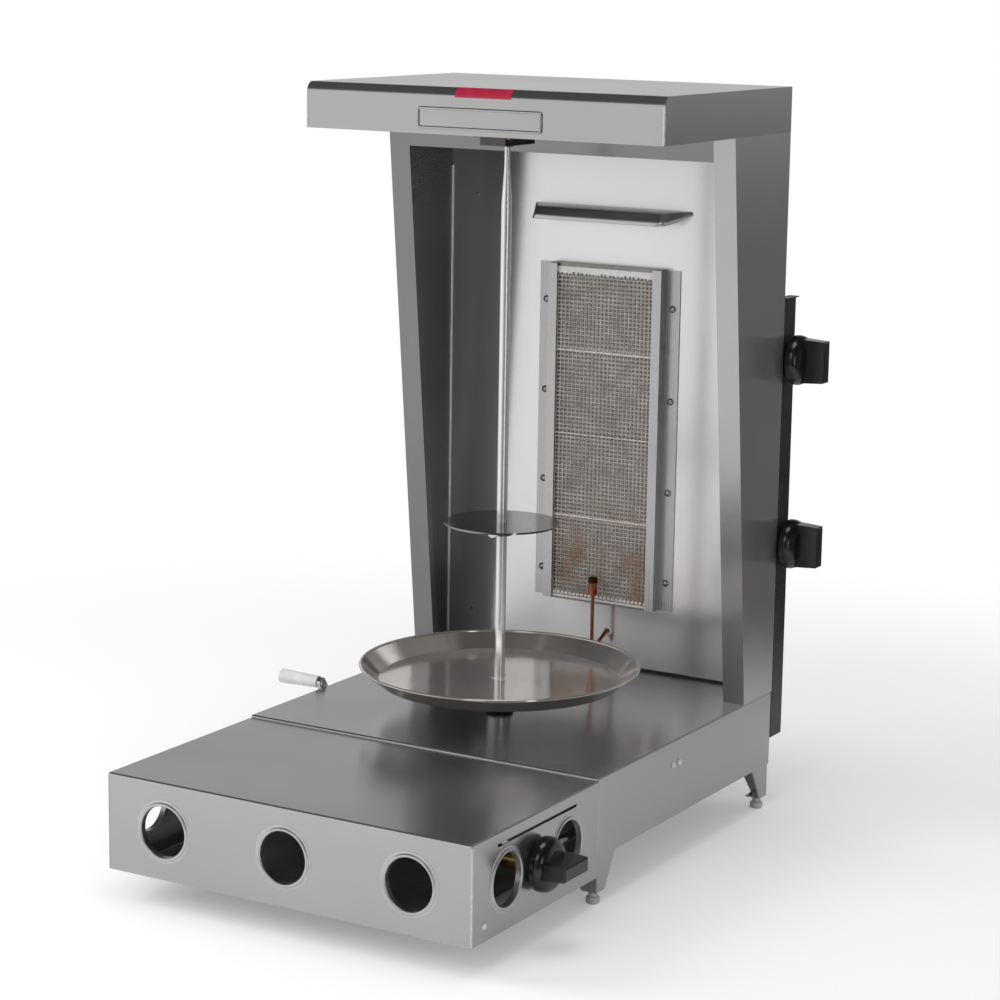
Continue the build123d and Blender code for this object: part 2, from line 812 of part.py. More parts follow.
# Burner rails: folded strips screwed to the back panel, whose front lips hold the mesh
def make_rail(side):
    wall_x = burner_x + side * rail_wall
    low = burner_mid - rail_length / 2
    with BuildPart() as rail:
        with BuildSketch(flat(low)):
            Polygon(
                (wall_x - side * (rail_lip - sheet), rail_front),
                (wall_x + side * sheet, rail_front),
                (wall_x + side * sheet, panel_front - sheet),
                (wall_x + side * (sheet + rail_flange), panel_front - sheet),
                (wall_x + side * (sheet + rail_flange), panel_front),
                (wall_x, panel_front),
                (wall_x, rail_front + sheet),
                (wall_x - side * (rail_lip - sheet), rail_front + sheet),
                align=None,
            )
        extrude(amount=rail_length)
        with BuildSketch(upright(panel_front, burner_x + side * rail_screw_reach, rail_screw_mid)):
            with GridLocations(rail_screw_pitch, rail_screw_pitch, 1, rail_screw_rows):
                Circle(screw_shank_radius + snug)
        extrude(amount=sheet, mode=Mode.SUBTRACT)
    return rail


save(make_rail(-1), "left_rail")
save(make_rail(1), "right_rail")

# Wire mesh in front of the plaques, as one flat net
mesh_foot = burner_mid - rail_length / 2 + box_lip
with BuildPart() as burner_mesh:
    mesh_pitch_x = (plaque_width - mesh_wire) / mesh_columns
    mesh_pitch_z = (mesh_height - mesh_wire) / mesh_rows
    with BuildSketch(upright(box_front - snug, burner_x, mesh_foot + mesh_height / 2)):
        Rectangle(plaque_width, mesh_height)
        with GridLocations(mesh_pitch_x, mesh_pitch_z, mesh_columns, mesh_rows):
            Rectangle(mesh_pitch_x - mesh_wire, mesh_pitch_z - mesh_wire, mode=Mode.SUBTRACT)
    extrude(amount=mesh_thickness)
save(burner_mesh, "burner_mesh")

# Ceramic plaques in pairs, one pair to each gas box
plaque_front = box_front + plaque_set_back
for pair, pair_name in ((1, "upper"), (-1, "lower")):
    with BuildPart() as plaques:
        with BuildSketch(upright(plaque_front, burner_x, burner_mid + pair * plaque_pitch)):
            with GridLocations(plaque_pitch, plaque_pitch, 1, 2):
                Rectangle(plaque_width, plaque_height)
        extrude(amount=-plaque_thickness)
    save(plaques, f"{pair_name}_plaques")

# Fibre gaskets that seat the plaques in the gas boxes
pair_height = plaque_pitch + plaque_height
box_inner_height = pair_height + box_margin + plaque_gap / 2 - sheet
box_shift = (box_margin - plaque_gap / 2 + sheet) / 2
with BuildPart() as plaque_gaskets:
    for pair in (1, -1):
        with BuildSketch(upright(plaque_front, burner_x, burner_mid + pair * plaque_pitch)):
            with Locations((0, pair * box_shift)):
                Rectangle(box_width - 2 * sheet, box_inner_height)
            with GridLocations(plaque_pitch, plaque_pitch, 1, 2):
                Rectangle(plaque_width, plaque_height, mode=Mode.SUBTRACT)
        extrude(amount=-plaque_thickness)
save(plaque_gaskets, "plaque_gaskets")


# Gas boxes: sheet boxes open to the front, each fed through a mixing tube from the right
def make_gas_box(pair, mix_z):
    with BuildPart() as box:
        box_mid = burner_mid + pair * (plaque_pitch + box_shift)
        with BuildSketch(upright(box_back, burner_x, box_mid)):
            Rectangle(box_width, box_inner_height + 2 * sheet)
        extrude(amount=box_depth)
        with BuildSketch(upright(box_back - sheet, burner_x, box_mid)):
            Rectangle(box_width - 2 * sheet, box_inner_height)
        extrude(amount=box_depth, mode=Mode.SUBTRACT)
        edge = burner_mid + pair * burner_half_height
        with BuildSketch(upright(box_front + sheet, burner_x)):
            patch(sheet - box_width / 2, box_width / 2 - sheet, edge - pair * box_lip, edge)
        extrude(amount=sheet)
        mix_plane = lathe(burner_x + box_width / 2, rear_valve_y, mix_z, (1, 0, 0))
        with BuildSketch(mix_plane):
            Polygon(
                (0, -sheet),
                (mix_radius, -sheet),
                (mix_radius, mix_length - mix_mouth_length),
                (mix_mouth_radius, mix_length),
                (0, mix_length),
                align=None,
            )
        revolve(axis=centreline(mix_plane))
        with BuildSketch(mix_plane):
            Polygon(
                (0, -sheet),
                (mix_radius - sheet, -sheet),
                (mix_radius - sheet, mix_length - mix_mouth_length),
                (mix_mouth_radius - sheet, mix_length),
                (0, mix_length),
                align=None,
            )
        revolve(axis=centreline(mix_plane), mode=Mode.SUBTRACT)
    return box


save(make_gas_box(1, upper_valve_z), "upper_gas_box")
save(make_gas_box(-1, lower_valve_z), "lower_gas_box")

# Injectors: brass jets between the rear valves and the mixing tubes
injector_start = valve_face - valve_length - valve_tail_length
injector_end = burner_x + box_width / 2 + mix_length + injector_gap
for valve_z, place in ((upper_valve_z, "upper"), (lower_valve_z, "lower")):
    with BuildPart() as injector:
        jet_plane = lathe(injector_end, rear_valve_y, valve_z, (1, 0, 0))
        nut_end = injector_tip_length + injector_nut_length
        with BuildSketch(jet_plane):
            Polygon(
                (0, 0),
                (injector_tip_radius, 0),
                (injector_radius, injector_tip_length),
                (injector_nut_radius, injector_tip_length),
                (injector_nut_radius, nut_end),
                (injector_radius, nut_end),
                (injector_radius, injector_start - injector_end),
                (0, injector_start - injector_end),
                align=None,
            )
        revolve(axis=centreline(jet_plane))
    save(injector, f"{place}_injector")

# Flame sensor: a copper tube from the panel up to the foot of the burner, with a nut at its tip
sensor_y = panel_front - sensor_stand_off
sensor_turn_y = panel_front - sensor_hole_run
sensor_cap_foot = base_top + sensor_top_lift - sensor_cap_height
sensor_neck_foot = sensor_cap_foot - sensor_neck_height
sensor_nut_foot = sensor_neck_foot - sensor_nut_height
with BuildPart() as flame_sensor:
    with BuildLine(flat(0)) as sensor_path:
        FilletPolyline(
            (sensor_x, sensor_y, sensor_nut_foot),
            (sensor_x, sensor_y, base_top + sensor_low_lift),
            (sensor_hole_x, sensor_turn_y, base_top + sensor_hole_lift),
            (sensor_hole_x, panel_back + sensor_tail, base_top + sensor_hole_lift),
            radius=sensor_bend_radius,
        )
    with BuildSketch(flat(sensor_nut_foot, sensor_x, sensor_y)):
        Circle(sensor_radius)
    sweep(path=sensor_path.wires()[0])
    with BuildSketch(flat(sensor_nut_foot, sensor_x, sensor_y)):
        RegularPolygon(sensor_nut_radius, 6)
    extrude(amount=sensor_nut_height)
    with BuildSketch(flat(sensor_neck_foot, sensor_x, sensor_y)):
        Circle(sensor_neck_radius)
    extrude(amount=sensor_neck_height)
    with BuildSketch(flat(sensor_cap_foot, sensor_x, sensor_y)):
        Circle(sensor_cap_radius)
    extrude(amount=sensor_cap_height)
    fillet(flame_sensor.edges().sort_by(Axis.Z)[-1], sensor_cap_round)
save(flame_sensor, "flame_sensor")

# Valve bracket: a folded angle behind the right wing that holds the two rear valves
bracket_foot = base_top + bracket_foot_lift
bracket_head = base_top + bracket_head_lift
bracket_rear = base_depth + bracket_depth
with BuildPart() as valve_bracket:
    with BuildSketch(flat(bracket_foot)):
        patch(half_width - sheet, half_width, base_depth, bracket_rear)
        patch(half_width - bracket_front_flange, half_width, base_depth, base_depth + sheet)
    extrude(amount=bracket_head - bracket_foot)
    with BuildSketch(flat(bracket_head)):
        patch(
            half_width - bracket_front_flange,
            half_width + bracket_lid_overhang,
            base_depth,
            bracket_rear + bracket_lid_overhang,
        )
    extrude(amount=sheet)
    for valve_z in (upper_valve_z, lower_valve_z):
        with BuildSketch(sideways(half_width, rear_valve_y, valve_z)):
            Circle(valve_nose_radius + snug)
        extrude(amount=-sheet, mode=Mode.SUBTRACT)
save(valve_bracket, "valve_bracket")


# Gas valves: brass bodies with a nose through the panel, an inlet boss behind and a tail
def make_valve(y, z):
    with BuildPart() as valve:
        valve_plane = lathe(valve_face, y, z, (1, 0, 0))
        with BuildSketch(valve_plane):
            Polygon(
                (0, -valve_length - valve_tail_length),
                (valve_tail_radius, -valve_length - valve_tail_length),
                (valve_tail_radius, -valve_length),
                (valve_radius, -valve_length),
                (valve_radius, 0),
                (valve_nose_radius, 0),
                (valve_nose_radius, sheet + valve_nose_length),
                (0, sheet + valve_nose_length),
                align=None,
            )
        revolve(axis=centreline(valve_plane))
        with BuildSketch(upright(y, manifold_x, z)):
            Circle(valve_inlet_radius)
        extrude(amount=-valve_radius - valve_inlet_length)
        with BuildSketch(sideways(half_width + valve_nose_length, y, z)):
            Circle(stem_radius + running)
        extrude(amount=-stem_depth, mode=Mode.SUBTRACT)
    return valve


# The flattened round that turns a knob with its stem
def flatted_round(clearance):
    radius = stem_radius + clearance
    Circle(radius)
    patch(-radius, radius, stem_radius - stem_flat + clearance, radius, Mode.SUBTRACT)


def make_stem(y, z):
    with BuildPart() as stem:
        with BuildSketch(sideways(half_width + valve_nose_length, y, z)):
            Circle(stem_radius)
        extrude(amount=body_gap - stem_depth)
        with BuildSketch(sideways(half_width + valve_nose_length, y, z)):
            flatted_round(0)
        extrude(amount=knob_standoff - valve_nose_length + knob_recess_depth + stem_hold)
    return stem


# Knobs: a domed skirt with a tapered grip bar across it
def make_knob(y, z, bar_turn):
    with BuildPart() as knob:
        knob_plane = lathe(knob_base, y, z, (1, 0, 0))
        with BuildSketch(knob_plane):
            with BuildLine():
                Polyline(
                    (knob_crown_radius, knob_crown_height),
                    (0, knob_crown_height),
                    (0, 0),
                    (knob_radius, 0),
                    (knob_radius, knob_rim),
                )
                ThreePointArc(
                    (knob_radius, knob_rim),
                    (
                        knob_crown_radius + (knob_radius - knob_crown_radius) * cos(pi / 4),
                        knob_rim + (knob_crown_height - knob_rim) * sin(pi / 4),
                    ),
                    (knob_crown_radius, knob_crown_height),
                )
            make_face()
        revolve(axis=centreline(knob_plane))
        with BuildSketch(sideways(knob_base + knob_bar_foot, y, z)):
            Rectangle(knob_bar_length, knob_bar_width, rotation=bar_turn)
        extrude(amount=knob_height - knob_bar_foot, taper=knob_bar_taper)
        fillet(knob.faces().sort_by(Axis.X)[-1].edges(), radius=knob_edge)
        with BuildSketch(sideways(knob_base, y, z)):
            Circle(knob_recess_radius)
        extrude(amount=knob_recess_depth, mode=Mode.SUBTRACT)
        with BuildSketch(sideways(knob_base + knob_recess_depth, y, z)):
            flatted_round(running)
        extrude(amount=stem_hold + knob_travel + knob_travel_spare, mode=Mode.SUBTRACT)
    return knob


valve_places = (
    ("upper", rear_valve_y, upper_valve_z, 90),
    ("lower", rear_valve_y, lower_valve_z, 90),
    ("griddle", griddle_valve_y, griddle_mid, 0),
)
for place, valve_y, valve_z, bar_turn in valve_places:
    save(make_valve(valve_y, valve_z), f"{place}_valve")
    save(make_stem(valve_y, valve_z), f"{place}_stem")
    save(make_knob(valve_y, valve_z, bar_turn), f"{place}_knob")

# Gas manifold: an upright pipe behind the rear valves, with a stub to each and one for the inlet
manifold_foot = griddle_mid + manifold_foot_lift
manifold_top = upper_valve_z + manifold_head
inlet_z = manifold_foot + inlet_lift
stub_face = rear_valve_y + valve_radius + valve_inlet_length
inlet_face = manifold_x - manifold_radius - inlet_stub
with BuildPart() as gas_manifold:
    with BuildSketch(flat(manifold_foot, manifold_x, manifold_y)):
        Circle(manifold_radius)
    extrude(amount=manifold_top - manifold_foot)
    for valve_z in (upper_valve_z, lower_valve_z):
        with BuildSketch(upright(stub_face, manifold_x, valve_z)):
            Circle(manifold_stub_radius)
        extrude(amount=stub_face - manifold_y)
    with BuildSketch(sideways(inlet_face, manifold_y, inlet_z)):
        Circle(manifold_stub_radius)
    extrude(amount=manifold_x - inlet_face)
    with BuildSketch(flat(manifold_foot, manifold_x, manifold_y)):
        Circle(manifold_radius - manifold_wall)
    extrude(amount=manifold_top - manifold_foot - manifold_wall, mode=Mode.SUBTRACT)
save(gas_manifold, "gas_manifold")

# Gas inlet: a brass union with a hexagon and a pipe-thread end facing left at the rear
with BuildPart() as gas_inlet:
    with BuildSketch(sideways(inlet_face, manifold_y, inlet_z)):
        RegularPolygon(inlet_nut_radius, 6)
    extrude(amount=-inlet_nut_length)
    with BuildSketch(sideways(inlet_face - inlet_nut_length, manifold_y, inlet_z)):
        Circle(inlet_thread_radius)
    extrude(amount=-inlet_thread_length)
    with BuildSketch(sideways(inlet_face - inlet_nut_length - inlet_thread_length, manifold_y, inlet_z)):
        Circle(inlet_bore_radius)
    extrude(amount=inlet_thread_length + inlet_nut_length - manifold_wall, mode=Mode.SUBTRACT)
save(gas_inlet, "gas_inlet")

# Griddle pipe: from the foot of the manifold, forward through the base to the griddle valve
pipe_end = griddle_valve_y + valve_radius + valve_inlet_length
with BuildPart() as griddle_pipe:
    with BuildLine(sideways(manifold_x)) as pipe_path:
        FilletPolyline(
            (manifold_y, manifold_foot),
            (manifold_y, griddle_mid),
            (pipe_end, griddle_mid),
            radius=pipe_bend_radius,
        )
    with BuildSketch(flat(manifold_foot, manifold_x, manifold_y)):
        Circle(pipe_radius)
        Circle(pipe_radius - pipe_wall, mode=Mode.SUBTRACT)
    sweep(path=pipe_path.wires()[0])
save(griddle_pipe, "griddle_pipe")

# Pipe nuts: brass union nuts at the two ends of the griddle pipe
with BuildPart() as pipe_nuts:
    nut_length = min(pipe_nut_length, manifold_foot_lift - pipe_bend_radius)
    with BuildSketch(flat(manifold_foot, manifold_x, manifold_y)):
        RegularPolygon(pipe_nut_radius, 6)
        Circle(pipe_radius + snug, mode=Mode.SUBTRACT)
    extrude(amount=-nut_length)
    with BuildSketch(upright(pipe_end, manifold_x, griddle_mid)):
        RegularPolygon(pipe_nut_radius, 6)
        Circle(pipe_radius + snug, mode=Mode.SUBTRACT)
    extrude(amount=-pipe_nut_length)
save(pipe_nuts, "pipe_nuts")

# Cross member: a strap across the base with turned-up ends and an upright for the crank's bush
brace_end = half_width - sheet - snug
bush_radius = crank_radius + bush_wall
with BuildPart() as cross_member:
    with BuildSketch(upright(brace_y)):
        patch(-brace_end, brace_end, brace_z, brace_z + brace_tab_height)
        patch(
            brace_sheet - brace_end,
            brace_end - brace_sheet,
            brace_z + brace_sheet,
            brace_z + brace_tab_height,
            Mode.SUBTRACT,
        )
    extrude(amount=brace_width / 2, both=True)
    with BuildSketch(sideways(-upright_x, spit_y)):
        patch(-upright_width / 2, upright_width / 2, brace_z + brace_sheet, crank_z + upright_head)
    extrude(amount=-upright_sheet)
    with BuildSketch(sideways(-half_width, spit_y, crank_z)):
        Circle(bush_radius + snug)
    extrude(amount=half_width, mode=Mode.SUBTRACT)
    with BuildSketch(flat(brace_z, 0, spit_y)):
        Circle(spindle_foot_radius + bush_wall + snug)
    extrude(amount=brace_sheet, mode=Mode.SUBTRACT)
    with BuildSketch(sideways(half_width, brace_y, base_top - brace_screw_drop)):
        with GridLocations(brace_screw_pitch, brace_screw_pitch, 2, 1):
            Circle(screw_shank_radius + snug)
    extrude(amount=-half_width, mode=Mode.SUBTRACT)
save(cross_member, "cross_member")


# Shaft bushes: flanged sleeves, two for the crank shaft and one for the foot of the spindle
outer_seat = lathe(-half_width, spit_y, crank_z, (-1, 0, 0))
inner_seat = lathe(-upright_x, spit_y, crank_z, (1, 0, 0))
foot_seat = lathe(0, spit_y, brace_z + brace_sheet, (0, 0, 1))
outer_sleeve = sheet + snug + brace_sheet + bush_overhang
with BuildPart() as shaft_bushes:
    for seat, bore, thickness, sleeve in (
        (outer_seat, crank_radius, crank_flange_thickness, outer_sleeve),
        (inner_seat, crank_radius, bush_flange_thickness, upright_sheet + bush_overhang),
        (foot_seat, spindle_foot_radius, bush_flange_thickness, brace_sheet + bush_overhang),
    ):
        with BuildSketch(seat):
            Polygon(
                (bore + running, thickness),
                (bore + bush_wall + bush_flange, thickness),
                (bore + bush_wall + bush_flange, 0),
                (bore + bush_wall, 0),
                (bore + bush_wall, -sleeve),
                (bore + running, -sleeve),
                align=None,
            )
        revolve(axis=centreline(seat))
save(shaft_bushes, "shaft_bushes")


# Straight-toothed bevel gears, drawn with the pitch cones' common apex at the origin
def make_bevel(teeth, mate_teeth, first_tooth, hub_radius, hub_length, bore):
    cone = atan2(teeth, mate_teeth)
    pitch_radius = gear_module * teeth / 2
    pitch_depth = gear_module * mate_teeth / 2
    inner_share = 1 - gear_face / hypot(pitch_radius, pitch_depth)
    root_radius = pitch_radius - tooth_dedendum * cos(cone)
    root_depth = pitch_depth + tooth_dedendum * sin(cone)
    back = pitch_depth + gear_back
    flank = tan(radians(tooth_slope))
    tip_half = tooth_half - tooth_addendum * flank
    sunk = tooth_dedendum + tooth_root_sink
    foot_half = tooth_half + sunk * flank
    with BuildPart() as tooth:
        for share in (1, inner_share):
            place = (share * pitch_radius, 0, share * pitch_depth)
            with BuildSketch(Plane(place, x_dir=(0, 1, 0), z_dir=(sin(cone), 0, cos(cone)))):
                Polygon(
                    (-share * foot_half, share * sunk),
                    (share * foot_half, share * sunk),
                    (share * tip_half, -share * tooth_addendum),
                    (-share * tip_half, -share * tooth_addendum),
                    align=None,
                )
        loft(ruled=True)
    with BuildPart() as gear:
        with BuildSketch(Plane.XZ):
            Polygon(
                (bore + snug, inner_share * root_depth),
                (inner_share * root_radius, inner_share * root_depth),
                (root_radius, root_depth),
                (root_radius, back),
                (hub_radius, back),
                (hub_radius, back + hub_length),
                (bore + snug, back + hub_length),
                align=None,
            )
        revolve(axis=Axis.Z)
        with PolarLocations(0, teeth, start_angle=first_tooth):
            add(tooth.part)
    return gear


apex = (-mid_x, spit_y - mid_y, crank_z)
pinion_shape = make_bevel(pinion_teeth, wheel_teeth, 0, pinion_hub_radius, pinion_hub_length, crank_radius)
with BuildPart(Plane(apex, x_dir=(0, 0, -1), z_dir=(-1, 0, 0))) as crank_pinion:
    add(pinion_shape.part)
save(crank_pinion, "crank_pinion")

half_tooth_turn = 180 / wheel_teeth
wheel_shape = make_bevel(
    wheel_teeth, pinion_teeth, half_tooth_turn, wheel_hub_radius, wheel_web_length, spindle_radius
)
with BuildPart(Plane(apex, x_dir=(-1, 0, 0), z_dir=(0, 0, -1))) as spindle_gear:
    add(wheel_shape.part)
save(spindle_gear, "spindle_gear")

# Crank shaft: from the pinion out through the left wall, with a cap that holds the arm
arm_outer = arm_face + arm_thickness
with BuildPart() as crank_shaft:
    shaft_plane = lathe(-crank_inner_end, spit_y, crank_z, (-1, 0, 0))
    with BuildSketch(shaft_plane):
        Polygon(
            (0, 0),
            (crank_radius, 0),
            (crank_radius, arm_outer - crank_inner_end),
            (crank_cap_radius, arm_outer - crank_inner_end),
            (crank_cap_radius, arm_outer + crank_cap_length - crank_inner_end),
            (0, arm_outer + crank_cap_length - crank_inner_end),
            align=None,
        )
    revolve(axis=centreline(shaft_plane))
    fillet(crank_shaft.faces().sort_by(Axis.X)[0].edges(), radius=grip_rounding)
save(crank_shaft, "crank_shaft")

# Crank arm: a flat bar with rounded ends, narrower at the grip
with BuildPart() as crank_arm:
    with BuildSketch(sideways(-arm_outer, spit_y, crank_z)):
        Circle(arm_root_radius)
        with Locations((grip_y - spit_y, grip_z - crank_z)):
            Circle(arm_tip_radius)
        make_hull()
    extrude(amount=arm_thickness)
    with BuildSketch(sideways(-arm_outer, spit_y, crank_z)):
        Circle(crank_radius + snug)
        with Locations((grip_y - spit_y, grip_z - crank_z)):
            Circle(grip_pin_radius + snug)
    extrude(amount=arm_thickness, mode=Mode.SUBTRACT)
save(crank_arm, "crank_arm")

# Grip bolt: riveted through the arm, with a head beyond the grip
with BuildPart() as grip_bolt:
    bolt_plane = lathe(-arm_face, grip_y, grip_z, (-1, 0, 0))
    bolt_end = grip_end + body_gap - arm_face
    with BuildSketch(bolt_plane):
        Polygon(
            (0, -grip_head_length),
            (grip_head_radius, -grip_head_length),
            (grip_head_radius, 0),
            (grip_pin_radius, 0),
            (grip_pin_radius, bolt_end),
            (grip_head_radius, bolt_end),
            (grip_head_radius, bolt_end + grip_head_length),
            (0, bolt_end + grip_head_length),
            align=None,
        )
    revolve(axis=centreline(bolt_plane))
save(grip_bolt, "grip_bolt")

# Grip: a moulded sleeve that swells towards its outer end and spins on the bolt
with BuildPart() as crank_grip:
    grip_plane = lathe(-grip_start, grip_y, grip_z, (-1, 0, 0))
    with BuildSketch(grip_plane):
        with BuildLine():
            Polyline(
                (grip_outer_radius, grip_length),
                (grip_pin_radius + running, grip_length),
                (grip_pin_radius + running, 0),
                (grip_inner_radius, 0),
            )
            ThreePointArc(
                (grip_inner_radius, 0),
                (grip_belly_radius, grip_belly_share * grip_length),
                (grip_outer_radius, grip_length),
            )
        make_face()
    revolve(axis=centreline(grip_plane))
save(crank_grip, "crank_grip")

# Hub: the flanged bearing on the base top that the spindle turns in
with BuildPart() as spindle_hub:
    hub_plane = lathe(0, spit_y, base_top, (0, 0, 1))
    with BuildSketch(hub_plane):
        Polygon(
            (spindle_radius + running, -hub_spigot_length),
            (hub_spigot_radius, -hub_spigot_length),
            (hub_spigot_radius, 0),
            (hub_flange_radius, 0),
            (hub_flange_radius, hub_flange_height - hub_chamfer),
            (hub_flange_radius - hub_chamfer, hub_flange_height),
            (spindle_radius + running, hub_flange_height),
            align=None,
        )
    revolve(axis=centreline(hub_plane))
save(spindle_hub, "spindle_hub")

# Spindle: foot journal, gear seat, column and seat for the pan, with a square socket on top
wheel_end = crank_z - gear_module * pinion_teeth / 2 - gear_back - wheel_web_length
with BuildPart() as spindle:
    spindle_plane = lathe(0, spit_y, 0, (0, 0, 1))
    with BuildSketch(spindle_plane):
        Polygon(
            (0, wheel_end - spindle_foot_length),
            (spindle_foot_radius, wheel_end - spindle_foot_length),
            (spindle_foot_radius, wheel_end),
            (spindle_radius, wheel_end),
            (spindle_radius, base_top + hub_flange_height + body_gap),
            (column_radius, base_top + hub_flange_height + body_gap),
            (column_radius, pan_z - pan_seat_height),
            (pan_seat_radius, pan_z - pan_seat_height),
            (pan_seat_radius, pan_z),
            (pan_spigot_radius, pan_z),
            (pan_spigot_radius, pan_top),
            (0, pan_top),
            align=None,
        )
    revolve(axis=centreline(spindle_plane))
    with BuildSketch(flat(pan_top, 0, spit_y)):
        Rectangle(tang_width + 2 * running, tang_width + 2 * running)
    extrude(amount=-socket_depth, mode=Mode.SUBTRACT)
save(spindle, "spindle")

# Drip pan: a shallow flared pan with a beaded rim
with BuildPart() as drip_pan:
    pan_plane = lathe(0, spit_y, pan_z, (0, 0, 1))
    with BuildSketch(pan_plane):
        Polygon(
            (pan_spigot_radius + snug, 0),
            (pan_floor_radius, 0),
            (pan_rim_radius, pan_rim_height),
            (pan_rim_radius - sheet, pan_rim_height),
            (pan_floor_radius - sheet, sheet),
            (pan_spigot_radius + snug, sheet),
            align=None,
        )
        with Locations((pan_rim_radius - sheet / 2, pan_rim_height)):
            Circle(pan_bead_radius)
    revolve(axis=centreline(pan_plane))
save(drip_pan, "drip_pan")

# Spit: a square tang, a plain round rod and a tapered tip that runs in the upper bush
with BuildPart() as spit_rod:
    rod_plane = lathe(0, spit_y, base_top, (0, 0, 1))
    with BuildSketch(rod_plane):
        Polygon(
            (0, pan_top - base_top),
            (spit_radius, pan_top - base_top),
            (spit_radius, spit_taper_foot),
            (spit_tip_radius, spit_taper_head),
            (spit_tip_radius, spit_tip_lift),
            (0, spit_tip_lift),
            align=None,
        )
    revolve(axis=centreline(rod_plane))
    with BuildSketch(flat(pan_top, 0, spit_y)):
        Rectangle(tang_width, tang_width)
    extrude(amount=body_gap - socket_depth)
save(spit_rod, "spit_rod")

# Meat disc: a flat plate on a collar that slides on the spit
disc_z = base_top + disc_lift
collar_foot = disc_z - disc_collar_height
screw_z = collar_foot + disc_collar_height / 2
with BuildPart() as meat_disc:
    disc_plane = lathe(0, spit_y, disc_z, (0, 0, 1))
    with BuildSketch(disc_plane):
        Polygon(
            (spit_radius + running, -disc_collar_height),
            (disc_collar_radius, -disc_collar_height),
            (disc_collar_radius, 0),
            (disc_radius, 0),
            (disc_radius, disc_thickness),
            (spit_radius + running, disc_thickness),
            align=None,
        )
    revolve(axis=centreline(disc_plane))
    with BuildSketch(upright(spit_y, 0, screw_z)):
        Circle(disc_screw_radius + running)
    extrude(amount=disc_collar_radius + overrun, mode=Mode.SUBTRACT)
save(meat_disc, "meat_disc")

# Thumb screw that clamps the meat disc to the spit
with BuildPart() as disc_screw:
    screw_plane = lathe(0, spit_y, screw_z, (0, -1, 0))
    screw_shoulder = disc_collar_radius + disc_screw_neck
    with BuildSketch(screw_plane):
        Polygon(
            (0, spit_radius + body_gap),
            (disc_screw_radius, spit_radius + body_gap),
            (disc_screw_radius, screw_shoulder),
            (disc_screw_head_radius, screw_shoulder),
            (disc_screw_head_radius, screw_shoulder + disc_screw_head_length),
            (0, screw_shoulder + disc_screw_head_length),
            align=None,
        )
    revolve(axis=centreline(screw_plane))
save(disc_screw, "disc_screw")


# Panel screws: pan heads in the burner rails, the back panel, the cross member and the casing
casing_screw_y = casing_screw_inset - griddle_depth
screw_seats = []
for side in (-1, 1):
    for row in range(rail_screw_rows):
        rail_z = rail_screw_mid + (row - (rail_screw_rows - 1) / 2) * rail_screw_pitch
        rail_x = burner_x + side * rail_screw_reach
        screw_seats.append(lathe(rail_x, panel_front - sheet, rail_z, (0, -1, 0)))
    for lift in (panel_screw_foot_lift, panel_screw_top_lift):
        screw_seats.append(lathe(side * panel_screw_x, panel_front, base_top + lift, (0, -1, 0)))
    casing_z = griddle_foot + casing_screw_lift
    screw_seats.append(lathe(side * half_width, casing_screw_y, casing_z, (side, 0, 0)))
    brace_hole_y = brace_y + side * brace_screw_pitch / 2
    screw_seats.append(lathe(half_width, brace_hole_y, base_top - brace_screw_drop, (1, 0, 0)))
with BuildPart() as panel_screws:
    for seat in screw_seats:
        with BuildSketch(seat):
            Polygon(
                (0, -screw_length),
                (screw_shank_radius, -screw_length),
                (screw_shank_radius, 0),
                (screw_head_radius, 0),
                (screw_head_radius, screw_rim_height),
                (screw_crown_radius, screw_head_height),
                (0, screw_head_height),
                align=None,
            )
        revolve(axis=centreline(seat))
save(panel_screws, "panel_screws")
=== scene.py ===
import bpy
import math
from mathutils import Matrix, Vector


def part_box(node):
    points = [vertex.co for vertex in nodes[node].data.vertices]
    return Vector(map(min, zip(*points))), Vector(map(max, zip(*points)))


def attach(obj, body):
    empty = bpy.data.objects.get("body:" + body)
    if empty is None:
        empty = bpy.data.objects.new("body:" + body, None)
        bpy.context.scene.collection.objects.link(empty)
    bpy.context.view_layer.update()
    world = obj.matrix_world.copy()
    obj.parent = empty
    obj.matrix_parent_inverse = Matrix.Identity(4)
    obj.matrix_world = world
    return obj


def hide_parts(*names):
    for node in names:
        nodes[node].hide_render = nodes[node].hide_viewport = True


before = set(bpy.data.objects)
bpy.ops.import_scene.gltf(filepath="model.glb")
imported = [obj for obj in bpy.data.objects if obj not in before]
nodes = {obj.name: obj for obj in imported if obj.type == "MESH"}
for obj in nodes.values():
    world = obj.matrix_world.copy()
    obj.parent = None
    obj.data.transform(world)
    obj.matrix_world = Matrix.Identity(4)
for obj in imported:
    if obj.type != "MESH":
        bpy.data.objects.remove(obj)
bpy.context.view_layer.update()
scene = bpy.context.scene
mm = 0.001
metre = 1000  # in mm, for the scales of patterns

# everything is placed from the base box: x from its middle, y from its front wall, z from the floor
baseLow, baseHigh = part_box("base_shell")
originX, originY = (baseLow.x + baseHigh.x) / 2, baseLow.y


def at(x, y, z):
    return Vector((originX + x * mm, originY + y * mm, z * mm))


def placed(name):
    low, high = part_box(name)  # a node's box in the same counting as at(), in mm
    shift = Vector((originX, originY, 0))
    return (low - shift) / mm, (high - shift) / mm


print("frame loaded:", len(nodes), "nodes")

photoView = {
    "place": (1452.2, -2308.4, 928.0),
    "lens": 99.89,
    "sensor": 36.0,
    "yaw": -30.51,
    "pitch": 11.195,
    "roll": 0.866,
}


